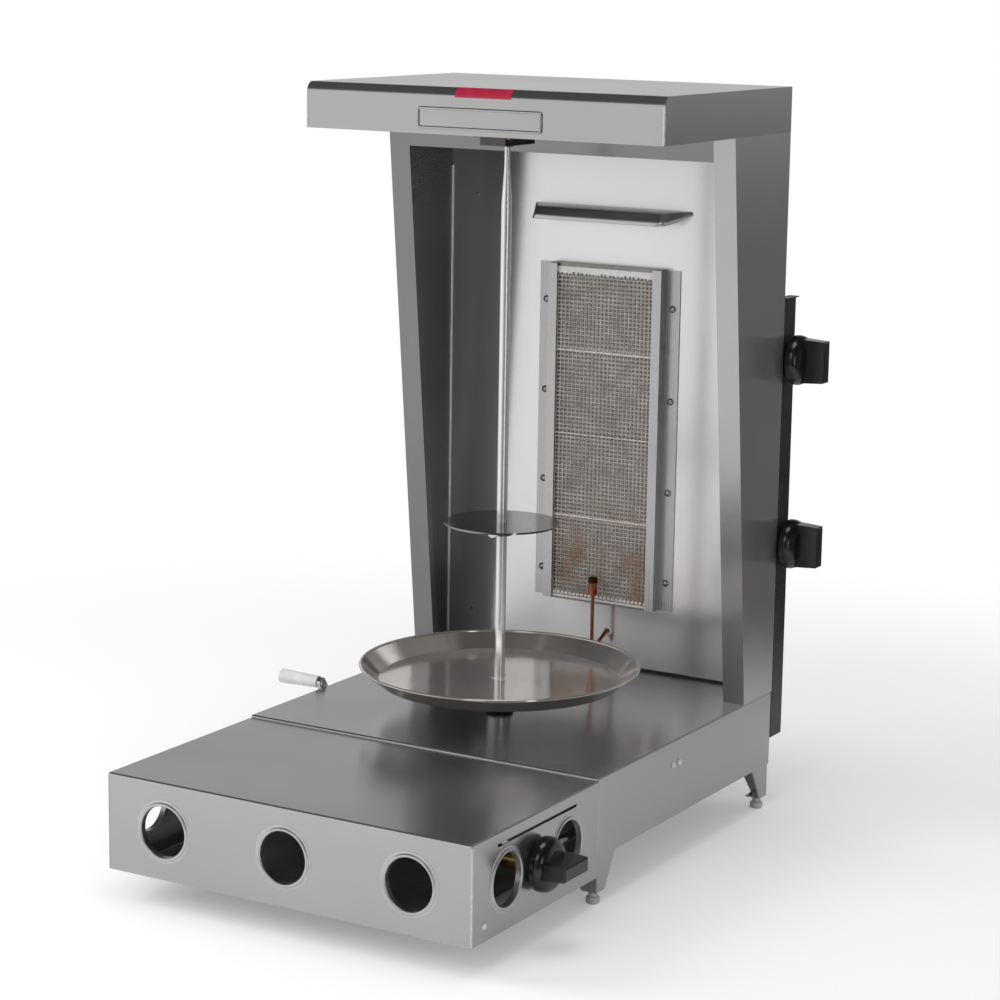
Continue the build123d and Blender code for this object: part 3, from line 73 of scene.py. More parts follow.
def makeCamera(view):
    yaw, pitch, roll = (math.radians(view[k]) for k in ("yaw", "pitch", "roll"))
    ahead = Vector((math.sin(yaw) * math.cos(pitch), math.cos(yaw) * math.cos(pitch), -math.sin(pitch)))
    right = Vector((math.cos(yaw), -math.sin(yaw), 0))
    up = right.cross(ahead)
    tiltedRight = right * math.cos(roll) + up * math.sin(roll)
    tiltedUp = up * math.cos(roll) - right * math.sin(roll)
    data = bpy.data.cameras.new("photoCamera")
    data.lens = view["lens"]
    data.sensor_width = view["sensor"]
    data.clip_end = 50
    camera = bpy.data.objects.new("photoCamera", data)
    turn = Matrix((tiltedRight, tiltedUp, -ahead)).transposed()
    camera.matrix_world = Matrix.Translation(at(*view["place"])) @ turn.to_4x4()
    scene.collection.objects.link(camera)
    scene.camera = camera


makeCamera(photoView)
print("camera set")


def linear(code):
    channels = [int(code[i:i + 2], 16) / 255 for i in (1, 3, 5)]
    return [c / 12.92 if c <= 0.04045 else ((c + 0.055) / 1.055) ** 2.4 for c in channels] + [1.0]


def addNode(tree, kind, sockets=None, **settings):
    node = tree.nodes.new(kind)
    for name, value in settings.items():
        setattr(node, name, value)
    for key, value in (sockets or {}).items():
        if isinstance(value, bpy.types.NodeSocket):
            tree.links.new(value, node.inputs[key])
        else:
            node.inputs[key].default_value = value
    return node


def startMaterial(name):
    material = bpy.data.materials.new(name)
    material.use_nodes = True
    tree = material.node_tree
    tree.nodes.clear()
    shader = addNode(tree, "ShaderNodeBsdfPrincipled")
    addNode(tree, "ShaderNodeOutputMaterial", {"Surface": shader.outputs["BSDF"]})
    return material, tree, shader


def joinUp(tree, shader, links, values):
    for socket, source in links.items():
        tree.links.new(source, shader.inputs[socket])
    for socket, value in values.items():
        shader.inputs[socket].default_value = value


def wornTones(tree, wear, look):
    # the colour and the roughness of a surface, from a value of 0 to 1
    colour = addNode(
        tree,
        "ShaderNodeMix",
        {"Factor": wear, 6: linear(look["deep"]), 7: linear(look["pale"])},
        data_type="RGBA",
    ).outputs[2]
    smooth, dull = look["rough"]
    rough = addNode(tree, "ShaderNodeMapRange", {0: wear, 3: smooth, 4: dull}).outputs[0]
    return colour, rough


# Stainless sheet, finished with an abrasive belt: long fine scratches in one direction, so a reflection
# stays sharp along them and smears out across them, with broad soft smudges from handling.
sheetSteel = {
    "pale": "#c3c2c3",
    "deep": "#bab9ba",
    "rough": (0.18, 0.24),
    "scratchMm": 0.8,  # real scratches are nearer 0.1 mm; drawn coarse enough to show
    "scratchLengthMm": 90,
    "scratchShare": 0.45,  # how much a scratch counts beside a smudge
    "smudgeMm": 150,
    "wearFrom": (0.45, 1.0),  # the sum of the two where the sheet is deep and where it is pale
    "sideFrom": 0.6,  # a face turned further to the left or right than this is brushed as a side
    "bump": 0.004,
    "bumpMm": 0.1,
    "smear": 0.8,
    "bare": 0.93,  # the rest is a film of grease that scatters light
}
acrossGrain = 0.25  # a quarter turn lays the smear of a reflection across the grain


def brushedSheet(name, look, grain):
    material, tree, shader = startMaterial(name)
    place = addNode(tree, "ShaderNodeTexCoord").outputs["Object"]
    fine, run = metre / look["scratchMm"], metre / look["scratchLengthMm"]
    if grain == "level":  # along y where the sheet faces left or right, along x elsewhere
        normal = addNode(tree, "ShaderNodeNewGeometry").outputs["True Normal"]
        facing = addNode(tree, "ShaderNodeSeparateXYZ", {0: normal}).outputs[0]
        turned = addNode(tree, "ShaderNodeMath", {0: facing}, operation="ABSOLUTE").outputs[0]
        sideways = addNode(
            tree, "ShaderNodeMath", {0: turned, 1: look["sideFrom"]}, operation="GREATER_THAN"
        ).outputs[0]
        alongX = addNode(tree, "ShaderNodeMapping", {"Vector": place, "Scale": (run, fine, fine)}).outputs[0]
        alongY = addNode(tree, "ShaderNodeMapping", {"Vector": place, "Scale": (fine, run, fine)}).outputs[0]
        scratchPlace = addNode(
            tree, "ShaderNodeMix", {"Factor": sideways, 4: alongX, 5: alongY}, data_type="VECTOR"
        ).outputs[1]
        direction = addNode(
            tree, "ShaderNodeMix", {"Factor": sideways, 4: (1, 0, 0), 5: (0, 1, 0)}, data_type="VECTOR"
        ).outputs[1]
    else:
        scratchPlace = addNode(
            tree, "ShaderNodeMapping", {"Vector": place, "Scale": (fine, fine, run)}
        ).outputs[0]
        direction = addNode(tree, "ShaderNodeCombineXYZ", {2: 1.0}).outputs[0]
    scratch = addNode(
        tree, "ShaderNodeTexNoise", {"Vector": scratchPlace, "Scale": 1.0, "Detail": 3.0, "Roughness": 0.6}
    ).outputs[0]
    smudge = addNode(
        tree, "ShaderNodeTexNoise", {"Vector": place, "Scale": metre / look["smudgeMm"], "Detail": 4.0}
    ).outputs[0]
    both = addNode(
        tree, "ShaderNodeMath", {0: scratch, 1: look["scratchShare"], 2: smudge}, operation="MULTIPLY_ADD"
    ).outputs[0]
    deepAt, paleAt = look["wearFrom"]
    wear = addNode(tree, "ShaderNodeMapRange", {0: both, 1: deepAt, 2: paleAt}).outputs[0]
    colour, rough = wornTones(tree, wear, look)
    bump = addNode(
        tree, "ShaderNodeBump", {"Height": scratch, "Strength": look["bump"], "Distance": look["bumpMm"] * mm}
    ).outputs[0]
    joinUp(
        tree,
        shader,
        {"Base Color": colour, "Roughness": rough, "Normal": bump, "Tangent": direction},
        {"Metallic": look["bare"], "Anisotropic": look["smear"], "Anisotropic Rotation": acrossGrain},
    )
    return material


# Stainless spun on a lathe: fine rings round the middle, polished between them.
spunSteel = {
    "pale": "#dcd7d3",
    "deep": "#c9c3be",
    "rough": (0.09, 0.17),
    "ringMm": 1.6,  # tool marks are nearer 0.2 mm; drawn coarse enough to show
    "ringShare": 0.5,  # how much a ring counts beside a smudge
    "smudgeMm": 60,
    "wearFrom": (0.45, 1.05),
    "bump": 0.015,
    "bumpMm": 0.1,
    "smear": 0.35,
    "bare": 0.82,
}


def spunSheet(name, look, middle):
    material, tree, shader = startMaterial(name)
    place = addNode(tree, "ShaderNodeTexCoord").outputs["Object"]
    fromAxis = addNode(
        tree, "ShaderNodeVectorMath", {0: place, 1: (-middle.x, -middle.y, 0)}, operation="ADD"
    ).outputs[0]
    flat = addNode(tree, "ShaderNodeVectorMath", {0: fromAxis, 1: (1, 1, 0)}, operation="MULTIPLY").outputs[0]
    radius = addNode(tree, "ShaderNodeVectorMath", {0: flat}, operation="LENGTH").outputs["Value"]
    ring = addNode(
        tree,
        "ShaderNodeTexNoise",
        {"W": radius, "Scale": metre / look["ringMm"], "Detail": 2.0},
        noise_dimensions="1D",
    ).outputs[0]
    smudge = addNode(
        tree, "ShaderNodeTexNoise", {"Vector": place, "Scale": metre / look["smudgeMm"], "Detail": 5.0}
    ).outputs[0]
    both = addNode(
        tree, "ShaderNodeMath", {0: ring, 1: look["ringShare"], 2: smudge}, operation="MULTIPLY_ADD"
    ).outputs[0]
    deepAt, paleAt = look["wearFrom"]
    wear = addNode(tree, "ShaderNodeMapRange", {0: both, 1: deepAt, 2: paleAt}).outputs[0]
    colour, rough = wornTones(tree, wear, look)
    bump = addNode(
        tree, "ShaderNodeBump", {"Height": ring, "Strength": look["bump"], "Distance": look["bumpMm"] * mm}
    ).outputs[0]
    around = addNode(tree, "ShaderNodeTangent", direction_type="RADIAL", axis="Z").outputs[0]
    joinUp(
        tree,
        shader,
        {"Base Color": colour, "Roughness": rough, "Normal": bump, "Tangent": around},
        {"Metallic": look["bare"], "Anisotropic": look["smear"], "Anisotropic Rotation": acrossGrain},
    )
    return material


# Everything without a grain: a colour that wanders between two tones in soft spots, a roughness that
# goes with it, and a fine bump.
mottling = {"toneFrom": (0.3, 0.7), "gritShare": 0.5, "roughFrom": (0.5, 1.0), "bumpMm": 0.2}


def mottled(name, look):
    material, tree, shader = startMaterial(name)
    place = addNode(tree, "ShaderNodeTexCoord").outputs["Object"]
    spots = addNode(
        tree,
        "ShaderNodeTexNoise",
        {"Vector": place, "Scale": metre / look["spotMm"], "Detail": 5.0, "Roughness": 0.6},
    ).outputs[0]
    grit = addNode(
        tree, "ShaderNodeTexNoise", {"Vector": place, "Scale": metre / look["gritMm"], "Detail": 3.0}
    ).outputs[0]
    deepAt, paleAt = mottling["toneFrom"]
    tone = addNode(tree, "ShaderNodeMapRange", {0: spots, 1: deepAt, 2: paleAt}).outputs[0]
    colour = addNode(
        tree,
        "ShaderNodeMix",
        {"Factor": tone, 6: linear(look["deep"]), 7: linear(look["pale"])},
        data_type="RGBA",
    ).outputs[2]
    both = addNode(
        tree, "ShaderNodeMath", {0: grit, 1: mottling["gritShare"], 2: spots}, operation="MULTIPLY_ADD"
    ).outputs[0]
    smoothAt, roughAt = mottling["roughFrom"]
    rough = addNode(
        tree,
        "ShaderNodeMapRange",
        {0: both, 1: smoothAt, 2: roughAt, 3: look["rough"][0], 4: look["rough"][1]},
    ).outputs[0]
    bump = addNode(
        tree,
        "ShaderNodeBump",
        {"Height": grit, "Strength": look["bump"], "Distance": mottling["bumpMm"] * mm},
    ).outputs[0]
    joinUp(tree, shader, {"Base Color": colour, "Roughness": rough, "Normal": bump}, look.get("sockets", {}))
    return material


metal = {"Metallic": 1.0}
finishes = {
    # phenolic resin, moulded in a polished die: deep black with a hard gloss
    "phenolicBlack": {
        "pale": "#1d1d1f", "deep": "#111113", "rough": (0.16, 0.26), "spotMm": 22, "gritMm": 2.5,
        "bump": 0.02, "sockets": {"IOR": 1.6},
    },
    # vitreous black enamel on steel: glassy, a little wavy from the firing
    "enamelBlack": {
        "pale": "#2a2a2d", "deep": "#161618", "rough": (0.22, 0.42), "spotMm": 25, "gritMm": 1.5,
        "bump": 0.10, "sockets": {"IOR": 1.5},
    },
    # polypropylene, moulded: white, smooth, slightly waxy
    "polypropyleneWhite": {
        "pale": "#f0efed", "deep": "#e0dfdc", "rough": (0.28, 0.42), "spotMm": 12, "gritMm": 1.0,
        "bump": 0.06, "sockets": {"IOR": 1.49, "Subsurface Weight": 0.06},
    },
    # polyamide, moulded: pale grey, satin
    "polyamideGrey": {
        "pale": "#d0d0d0", "deep": "#bcbcbd", "rough": (0.3, 0.45), "spotMm": 8, "gritMm": 0.7,
        "bump": 0.08, "sockets": {"IOR": 1.53},
    },
    # steel, coated with aluminium and dulled by heat: mid grey, faint spangle
    "steelAluminised": {
        "pale": "#9a9998", "deep": "#7f7e7d", "rough": (0.3, 0.45), "spotMm": 6, "gritMm": 0.8,
        "bump": 0.08, "sockets": metal,
    },
    # stainless, rolled into a ring and tumbled: soft and even
    "stainlessTumbled": {
        "pale": "#d6d5d4", "deep": "#c8c7c6", "rough": (0.34, 0.42), "spotMm": 14, "gritMm": 1.5,
        "bump": 0.01, "sockets": metal,
    },
    # sheet steel, scaled by heat inside the griddle: dull grey
    "steelScaled": {
        "pale": "#a9a7a5", "deep": "#8d8b89", "rough": (0.5, 0.65), "spotMm": 30, "gritMm": 1.2,
        "bump": 0.05, "sockets": {"Metallic": 0.25},
    },
    # stainless, browned and dulled by years of heat
    "stainlessSmoked": {
        "pale": "#6c6a69", "deep": "#4f4d4c", "rough": (0.25, 0.4), "spotMm": 40, "gritMm": 1.0,
        "bump": 0.05, "sockets": metal,
    },
    # brass, turned and then handled: warm, with brown tarnish
    "brassTurned": {
        "pale": "#b59556", "deep": "#866a38", "rough": (0.2, 0.42), "spotMm": 7, "gritMm": 0.6,
        "bump": 0.06, "sockets": metal,
    },
    # bronze, pressed from powder and sintered: open grain, brown
    "bronzeSintered": {
        "pale": "#b98f5c", "deep": "#86623a", "rough": (0.38, 0.6), "spotMm": 4, "gritMm": 0.5,
        "bump": 0.25, "sockets": metal,
    },
    # steel, cut and plated with bright zinc: pale, with a bluish bloom
    "zincPlated": {
        "pale": "#c9cbce", "deep": "#a3a6ab", "rough": (0.12, 0.22), "spotMm": 5, "gritMm": 0.5,
        "bump": 0.06, "sockets": metal,
    },
    # steel, machined and left oily: grey, cutter marks
    "gearSteel": {
        "pale": "#9b9894", "deep": "#6f6c69", "rough": (0.25, 0.45), "spotMm": 6, "gritMm": 0.4,
        "bump": 0.08, "sockets": metal,
    },
    # iron, cast, turned and blackened: nearly black, soft sheen
    "ironBlackened": {
        "pale": "#3a3a3c", "deep": "#1f1f21", "rough": (0.35, 0.6), "spotMm": 8, "gritMm": 0.8,
        "bump": 0.15, "sockets": metal,
    },
    # vinyl, printed in one red and glued on: smooth, slightly faded in places
    "vinylRed": {
        "pale": "#b3183d", "deep": "#980f32", "rough": (0.3, 0.45), "spotMm": 10, "gritMm": 1.2,
        "bump": 0.04, "sockets": {"IOR": 1.53},
    },
    # a dark, dull strip shaped like smoothed sealant: painted shadow for the gap at the foot of the back
    # panel
    "shadowGapDark": {
        "pale": "#2c2a29", "deep": "#191817", "rough": (0.5, 0.7), "spotMm": 12, "gritMm": 1.5,
        "bump": 0.2, "sockets": {"IOR": 1.41},
    },
    # weld bead, ground and brushed over: bright and uneven; on the griddle's folded corners it is painted
    # highlight
    "weldGroundAndHighlight": {
        "pale": "#eceae8", "deep": "#cfcdca", "rough": (0.25, 0.45), "spotMm": 3, "gritMm": 0.7,
        "bump": 0.2, "sockets": metal,
    },
    # aluminium, peened over in setting the rivet: matt and bright
    "aluminiumPeened": {
        "pale": "#f2f2f2", "deep": "#dededf", "rough": (0.4, 0.55), "spotMm": 4, "gritMm": 0.5,
        "bump": 0.06, "sockets": {"Metallic": 0.4},
    },
    # stainless, pressed and polished: bright, with faint draw marks
    "stainlessPolished": {
        "pale": "#dcdbd9", "deep": "#c6c5c3", "rough": (0.2, 0.32), "spotMm": 10, "gritMm": 0.6,
        "bump": 0.04, "sockets": metal,
    },
    # silicone rubber, moulded: milky, soft sheen
    "siliconePale": {
        "pale": "#e6e2da", "deep": "#cfc9bf", "rough": (0.4, 0.55), "spotMm": 4, "gritMm": 0.6,
        "bump": 0.08, "sockets": {"IOR": 1.41},
    },
}

rodLow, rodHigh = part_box("spit_rod")
spitAxis = (rodLow + rodHigh) / 2
steelLevel = brushedSheet("stainlessBrushedLevel", sheetSteel, "level")
steelUpright = brushedSheet(
    "stainlessBrushedUpright", dict(sheetSteel, rough=(0.20, 0.27), smear=0.6, bare=0.82), "upright"
)
# the hood's sheet kept its mill finish under the brushing: sharper reflections
hoodSheet = dict(sheetSteel, pale="#b6b5b6", deep="#adacad", rough=(0.13, 0.18), smear=0.6)
steelHood = brushedSheet("stainlessHood", hoodSheet, "level")
# the left wing and the header get a darker copy of the sheet: painted shade
shadedSheet = dict(sheetSteel, pale="#8b8a8c", deep="#828183", rough=(0.16, 0.22), smear=0.6, bare=1.0)
steelShaded = brushedSheet("stainlessBrushedShaded", shadedSheet, "upright")
# the back panel gets a paler copy of the sheet, painted light, with a duller film from wiping
litSheet = dict(sheetSteel, pale="#ecebec", deep="#e2e1e2", bare=0.8)
steelLit = brushedSheet("stainlessWipedLit", litSheet, "level")
# the rails are folded from strip that was rolled bright: soft, even reflections
railStrip = dict(sheetSteel, pale="#c4c3c4", deep="#bab9ba", rough=(0.24, 0.32), smear=0.2, bare=0.68)
steelRolled = brushedSheet("stainlessBrightRolled", railStrip, "upright")
steelSpun = spunSheet("stainlessSpun", spunSteel, spitAxis)
# the disc was blanked and turned; its darker copy of the spun steel is painted shade
shadedDiscSheet = dict(spunSteel, pale="#9c9a99", deep="#8b8988", bare=1.0)
steelTurnedShaded = spunSheet("stainlessTurnedShaded", shadedDiscSheet, spitAxis)
# bar drawn through a die and ground: straight fine lines along it, satin; its near-white copy of the sheet is
# painted light
litDrawnBar = dict(
    sheetSteel, pale="#f4f3f2", deep="#e9e8e7", rough=(0.2, 0.28), scratchMm=0.5, smear=0.3, bare=0.8
)
steelDrawnLit = brushedSheet("stainlessDrawnLit", litDrawnBar, "upright")
made = {name: mottled(name, look) for name, look in finishes.items()}

# Cordierite ceramic, extruded and fired: chalky, drilled all over with fine flame holes drawn dark as
# painted shade, and browned by the flame.
plaqueLook = {
    "pale": "#ddd5ca",
    "deep": "#c4bbae",
    # dark in the flame holes: painted shade
    "hole": "#7a7066",
    "holePitchMm": 2.4,  # real holes are nearer 1.6 mm apart; drawn coarse enough to show
    "holeShare": 0.3,  # radius of a hole and width of its edge, as shares of the pitch
    "edgeShare": 0.08,
    "spotMm": 45,
    "sockets": {"Roughness": 0.9, "IOR": 1.5},
}


def plaqueCeramic(name, look):
    material, tree, shader = startMaterial(name)
    place = addNode(tree, "ShaderNodeTexCoord").outputs["Object"]
    part = addNode(tree, "ShaderNodeSeparateXYZ", {0: place}).outputs
    face = addNode(tree, "ShaderNodeCombineXYZ", {0: part[0], 1: part[2]}).outputs[0]
    fromHole = addNode(
        tree,
        "ShaderNodeTexVoronoi",
        {"Vector": face, "Scale": metre / look["holePitchMm"], "Randomness": 0.0},
        voronoi_dimensions="2D",
    ).outputs["Distance"]
    rim = look["holeShare"]
    # the flame holes are coloured dark: painted shade inside them
    hole = addNode(tree, "ShaderNodeMapRange", {0: fromHole, 1: rim + look["edgeShare"], 2: rim}).outputs[0]
    spots = addNode(
        tree, "ShaderNodeTexNoise", {"Vector": place, "Scale": metre / look["spotMm"], "Detail": 6.0}
    ).outputs[0]
    clay = addNode(
        tree,
        "ShaderNodeMix",
        {"Factor": spots, 6: linear(look["deep"]), 7: linear(look["pale"])},
        data_type="RGBA",
    ).outputs[2]
    colour = addNode(
        tree, "ShaderNodeMix", {"Factor": hole, 6: clay, 7: linear(look["hole"])}, data_type="RGBA"
    ).outputs[2]
    joinUp(tree, shader, {"Base Color": colour}, look["sockets"])
    return material


# Alumina fibre, pressed into felt: white, matt, with fine loose hairs.
fibreLook = {
    "pale": "#fbfaf8", "deep": "#eae7e2", "rough": (0.85, 0.98), "spotMm": 4, "gritMm": 0.5, "bump": 0.6,
}

# Heat-resisting wire, drawn, woven and then blued by the flame: straw and brown, redder low down.
wireLook = {
    "pale": "#d8d4cf",
    "deep": "#b3ada7",
    "rough": (0.4, 0.6),
    "bare": 0.45,  # the rest is oxide
    "spotMm": 14,
    "toneFrom": (0.3, 0.7),
    "burnt": "#a87c66",
    "burntRise": 119.3,  # burnt patches reach up to here from the foot of the mesh, mm
    "burntRun": 90,  # and grow over this much on the way down
    "patchMm": 45.45,
    "patchFrom": (0.45, 0.7),
    "ends": "#5a524c",
    "endsDrop": 3.0,  # the cut ends are dark from here below the head of the mesh
    "endsRun": 2.0,
}


def heatedWire(name, look):
    material, tree, shader = startMaterial(name)
    place = addNode(tree, "ShaderNodeTexCoord").outputs["Object"]
    height = addNode(tree, "ShaderNodeSeparateXYZ", {0: place}).outputs[2]
    spots = addNode(
        tree, "ShaderNodeTexNoise", {"Vector": place, "Scale": metre / look["spotMm"], "Detail": 5.0}
    ).outputs[0]
    deepAt, paleAt = look["toneFrom"]
    tone = addNode(tree, "ShaderNodeMapRange", {0: spots, 1: deepAt, 2: paleAt}).outputs[0]
    straw = addNode(
        tree,
        "ShaderNodeMix",
        {"Factor": tone, 6: linear(look["deep"]), 7: linear(look["pale"])},
        data_type="RGBA",
    ).outputs[2]
    foot, head = (corner.z for corner in placed("burner_mesh"))
    burntTop = foot + look["burntRise"]
    low = addNode(
        tree, "ShaderNodeMapRange", {0: height, 1: burntTop * mm, 2: (burntTop - look["burntRun"]) * mm}
    ).outputs[0]
    patches = addNode(
        tree, "ShaderNodeTexNoise", {"Vector": place, "Scale": metre / look["patchMm"], "Detail": 3.0}
    ).outputs[0]
    clearAt, burntAt = look["patchFrom"]
    burn = addNode(tree, "ShaderNodeMapRange", {0: patches, 1: clearAt, 2: burntAt}).outputs[0]
    burnt = addNode(tree, "ShaderNodeMath", {0: burn, 1: low}, operation="MULTIPLY").outputs[0]
    body = addNode(
        tree, "ShaderNodeMix", {"Factor": burnt, 6: straw, 7: linear(look["burnt"])}, data_type="RGBA"
    ).outputs[2]
    darkAt = head - look["endsDrop"]
    ends = addNode(
        tree, "ShaderNodeMapRange", {0: height, 1: (darkAt - look["endsRun"]) * mm, 2: darkAt * mm}
    ).outputs[0]
    colour = addNode(
        tree, "ShaderNodeMix", {"Factor": ends, 6: body, 7: linear(look["ends"])}, data_type="RGBA"
    ).outputs[2]
    smooth, dull = look["rough"]
    rough = addNode(tree, "ShaderNodeMapRange", {0: spots, 3: smooth, 4: dull}).outputs[0]
    joinUp(tree, shader, {"Base Color": colour, "Roughness": rough}, {"Metallic": look["bare"]})
    return material


# Copper tube, drawn and annealed: orange-brown, with a nut at its tip that the flame has darkened.
sensorLook = {
    "pale": "#c27a55",
    "deep": "#8f4e33",
    "nut": "#4b2b20",
    "rough": (0.25, 0.45),
    "spotMm": 5,
    "nutDrop": 6.0,  # height of the nut, and the run over which its colour fades, mm
    "nutRun": 2.0,
}


def sensorCopper(name, look):
    material, tree, shader = startMaterial(name)
    place = addNode(tree, "ShaderNodeTexCoord").outputs["Object"]
    height = addNode(tree, "ShaderNodeSeparateXYZ", {0: place}).outputs[2]
    spots = addNode(
        tree, "ShaderNodeTexNoise", {"Vector": place, "Scale": metre / look["spotMm"], "Detail": 4.0}
    ).outputs[0]
    tube, rough = wornTones(tree, spots, look)
    nutFoot = placed("flame_sensor")[1].z - look["nutDrop"]
    nut = addNode(
        tree, "ShaderNodeMapRange", {0: height, 1: (nutFoot - look["nutRun"]) * mm, 2: nutFoot * mm}
    ).outputs[0]
    colour = addNode(
        tree, "ShaderNodeMix", {"Factor": nut, 6: tube, 7: linear(look["nut"])}, data_type="RGBA"
    ).outputs[2]
    joinUp(tree, shader, {"Base Color": colour, "Roughness": rough}, metal)
    return material


ceramic = plaqueCeramic("cordieriteCeramic", plaqueLook)
fibre = mottled("aluminaFibre", fibreLook)
wire = heatedWire("heatedWire", wireLook)
copper = sensorCopper("copperAnnealed", sensorLook)

dressed = {
    steelLevel: (
        "base_shell", "leg_front_left", "leg_front_right", "leg_rear_left", "leg_rear_right",
        "griddle_casing", "cross_member", "louvre_hood",
    ),
    steelHood: ("hood_shell",),
    steelUpright: ("right_wing",),
    steelShaded: ("left_wing", "header_strip"),
    steelLit: ("back_panel",),
    steelRolled: ("left_rail", "right_rail"),
    steelSpun: ("drip_pan",),
    steelTurnedShaded: ("meat_disc",),
    steelDrawnLit: (
        "spit_rod", "upper_stem", "lower_stem", "griddle_stem", "crank_shaft", "grip_bolt", "spindle",
    ),
    made["stainlessTumbled"]: ("vent_rings",),
    made["stainlessPolished"]: ("crank_arm", "disc_screw"),
    made["stainlessSmoked"]: ("hood_floor", "spit_bracket"),
    made["steelScaled"]: ("burner_tray",),
    made["steelAluminised"]: ("upper_gas_box", "lower_gas_box"),
    made["phenolicBlack"]: ("upper_knob", "lower_knob", "griddle_knob"),
    made["enamelBlack"]: ("griddle_burner", "valve_bracket", "gas_manifold"),
    made["polypropyleneWhite"]: ("crank_grip",),
    made["polyamideGrey"]: ("foot_pads",),
    made["brassTurned"]: (
        "upper_valve", "lower_valve", "griddle_valve", "pipe_nuts", "gas_inlet", "upper_injector",
        "lower_injector",
    ),
    made["bronzeSintered"]: ("spit_top_bush", "shaft_bushes"),
    made["zincPlated"]: ("griddle_pipe", "panel_screws"),
    made["gearSteel"]: ("crank_pinion", "spindle_gear"),
    made["ironBlackened"]: ("spindle_hub",),
    ceramic: ("upper_plaques", "lower_plaques"),
    fibre: ("plaque_gaskets",),
    wire: ("burner_mesh",),
    copper: ("flame_sensor",),
}
for material, names in dressed.items():
    for name in names:
        nodes[name].data.materials.clear()
        nodes[name].data.materials.append(material)
print("materials made:", len(dressed))


def addPiece(name, points, faces, material, body="grill", sharpAbove=40):
    mesh = bpy.data.meshes.new(name)
    mesh.from_pydata([tuple(p) for p in points], [], faces)
    for face in mesh.polygons:
        face.use_smooth = True
    mesh.set_sharp_from_angle(angle=math.radians(sharpAbove))
    mesh.materials.append(material)
    piece = bpy.data.objects.new(name, mesh)
    scene.collection.objects.link(piece)
    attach(piece, body)
    return piece


def anglesRound(count):
    return [2 * math.pi * k / count for k in range(count)]


def sweepRings(rings, looped=False):
    # faces between neighbouring rings of points; the two ends are capped, or joined where the sweep is looped
    count = len(rings[0])
    points = [p for ring in rings for p in ring]
    faces = []
    for k in range(len(rings) if looped else len(rings) - 1):
        near, far = k * count, (k + 1) % len(rings) * count
        for i in range(count):
            j = (i + 1) % count
            faces.append((near + i, near + j, far + j, far + i))
    if not looped:
        faces.append(tuple(reversed(range(count))))
        faces.append(tuple((len(rings) - 1) * count + i for i in range(count)))
    return points, faces


def sweepAll(sweeps):
    # several sweeps, put together in one mesh
    points, faces = [], []
    for rings in sweeps:
        new, sides = sweepRings(rings)
        faces += [tuple(len(points) + i for i in face) for face in sides]
        points += new
    return points, faces


def scatter(k):
    # an even spread of values from 0 to 1, the same on every run
    goldenRatio = 0.61803398875
    return (k * goldenRatio) % 1.0


# Burner mesh: plain weave of crimped wire, cut with shears so that its ends stand up unevenly.
weave = {
    "across": 5.0,  # pitch of the upright wires, mm
    "up": 4.66,  # pitch of the level wires
    "wire": 1.8,
    "flat": 0.5,  # the wire is rolled a little flat
    "crimp": 0.9,  # swing to either side, as a share of half the wire
    "sides": 6,
    "ragged": 5.0,  # the longest cut end
    "shortest": 0.5,  # shares of that for the shortest end and for what is left to chance
    "chance": 0.45,
    "lean": 0.4,  # sideways lean of an end, as a share of the pitch
}


def wovenMesh(look):
    low, high = placed("burner_mesh")
    halfWide, halfDeep = look["wire"] / 2, look["wire"] * look["flat"] / 2
    swing = halfDeep * look["crimp"]
    depth = high.y - halfDeep - swing
    columns = math.floor((high.x - low.x - look["wire"]) / look["across"])
    rows = math.floor((high.z - low.z - look["ragged"]) / look["up"])
    firstX = (low.x + high.x - columns * look["across"]) / 2
    firstZ = low.z + halfWide
    wires = []

    def layWire(path, across):
        # across: the direction square to the wire within the mesh
        wires.append([
            [
                at(*(p + across * halfWide * math.cos(a) + Vector((0, halfDeep * math.sin(a), 0))))
                for a in anglesRound(look["sides"])
            ]
            for p in path
        ])

    for row in range(rows + 1):
        side = 1 if row % 2 else -1
        z = firstZ + row * look["up"]
        path = [Vector((low.x + halfWide, depth, z))]
        path += [
            Vector((firstX + k * look["across"] / 2, depth + side * swing * math.cos(math.pi * k / 2), z))
            for k in range(2 * columns + 1)
        ]
        path.append(Vector((high.x - halfWide, depth, z)))
        layWire(path, Vector((0, 0, -1)))
    for column in range(columns + 1):
        side = -1 if column % 2 else 1
        x = firstX + column * look["across"]
        path = [
            Vector((x, depth + side * swing * math.cos(math.pi * k / 2), firstZ + k * look["up"] / 2))
            for k in range(2 * rows + 1)
        ]
        lean = (scatter(column) - 0.5) * look["across"] * look["lean"]
        end = look["ragged"] * (look["shortest"] + look["chance"] * scatter(3 * column + 1))
        path.append(Vector((x + lean, depth, path[-1].z + end)))
        layWire(path, Vector((1, 0, 0)))
    points, faces = sweepAll(wires)
    piece = addPiece("wovenMesh", points, faces, wire, sharpAbove=180)
    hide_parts("burner_mesh")


wovenMesh(weave)

# Strips of fibre: a band above and below the mesh, and the packing in the joints of the plaques.
strips = {
    "plaques": 4,  # one above the other
    "headHeight": 10.5,
    "footHeight": 8.0,
    "jointHeight": 2.0,
    "headPress": 0.4,  # how far each presses into the mesh from behind, mm
    "footPress": 0.9,
    "jointPress": 1.3,
    "headOver": 0.5,  # how far the head band stands over the plaques, and the foot band over its box
    "footOver": 1.0,
    "gap": 0.02,
    "step": 4.0,
    "lump": 0.175,
    "wave": 2.4,
    "sides": 8,
    "square": 1.3,  # above 1 the section is squarer than round
}


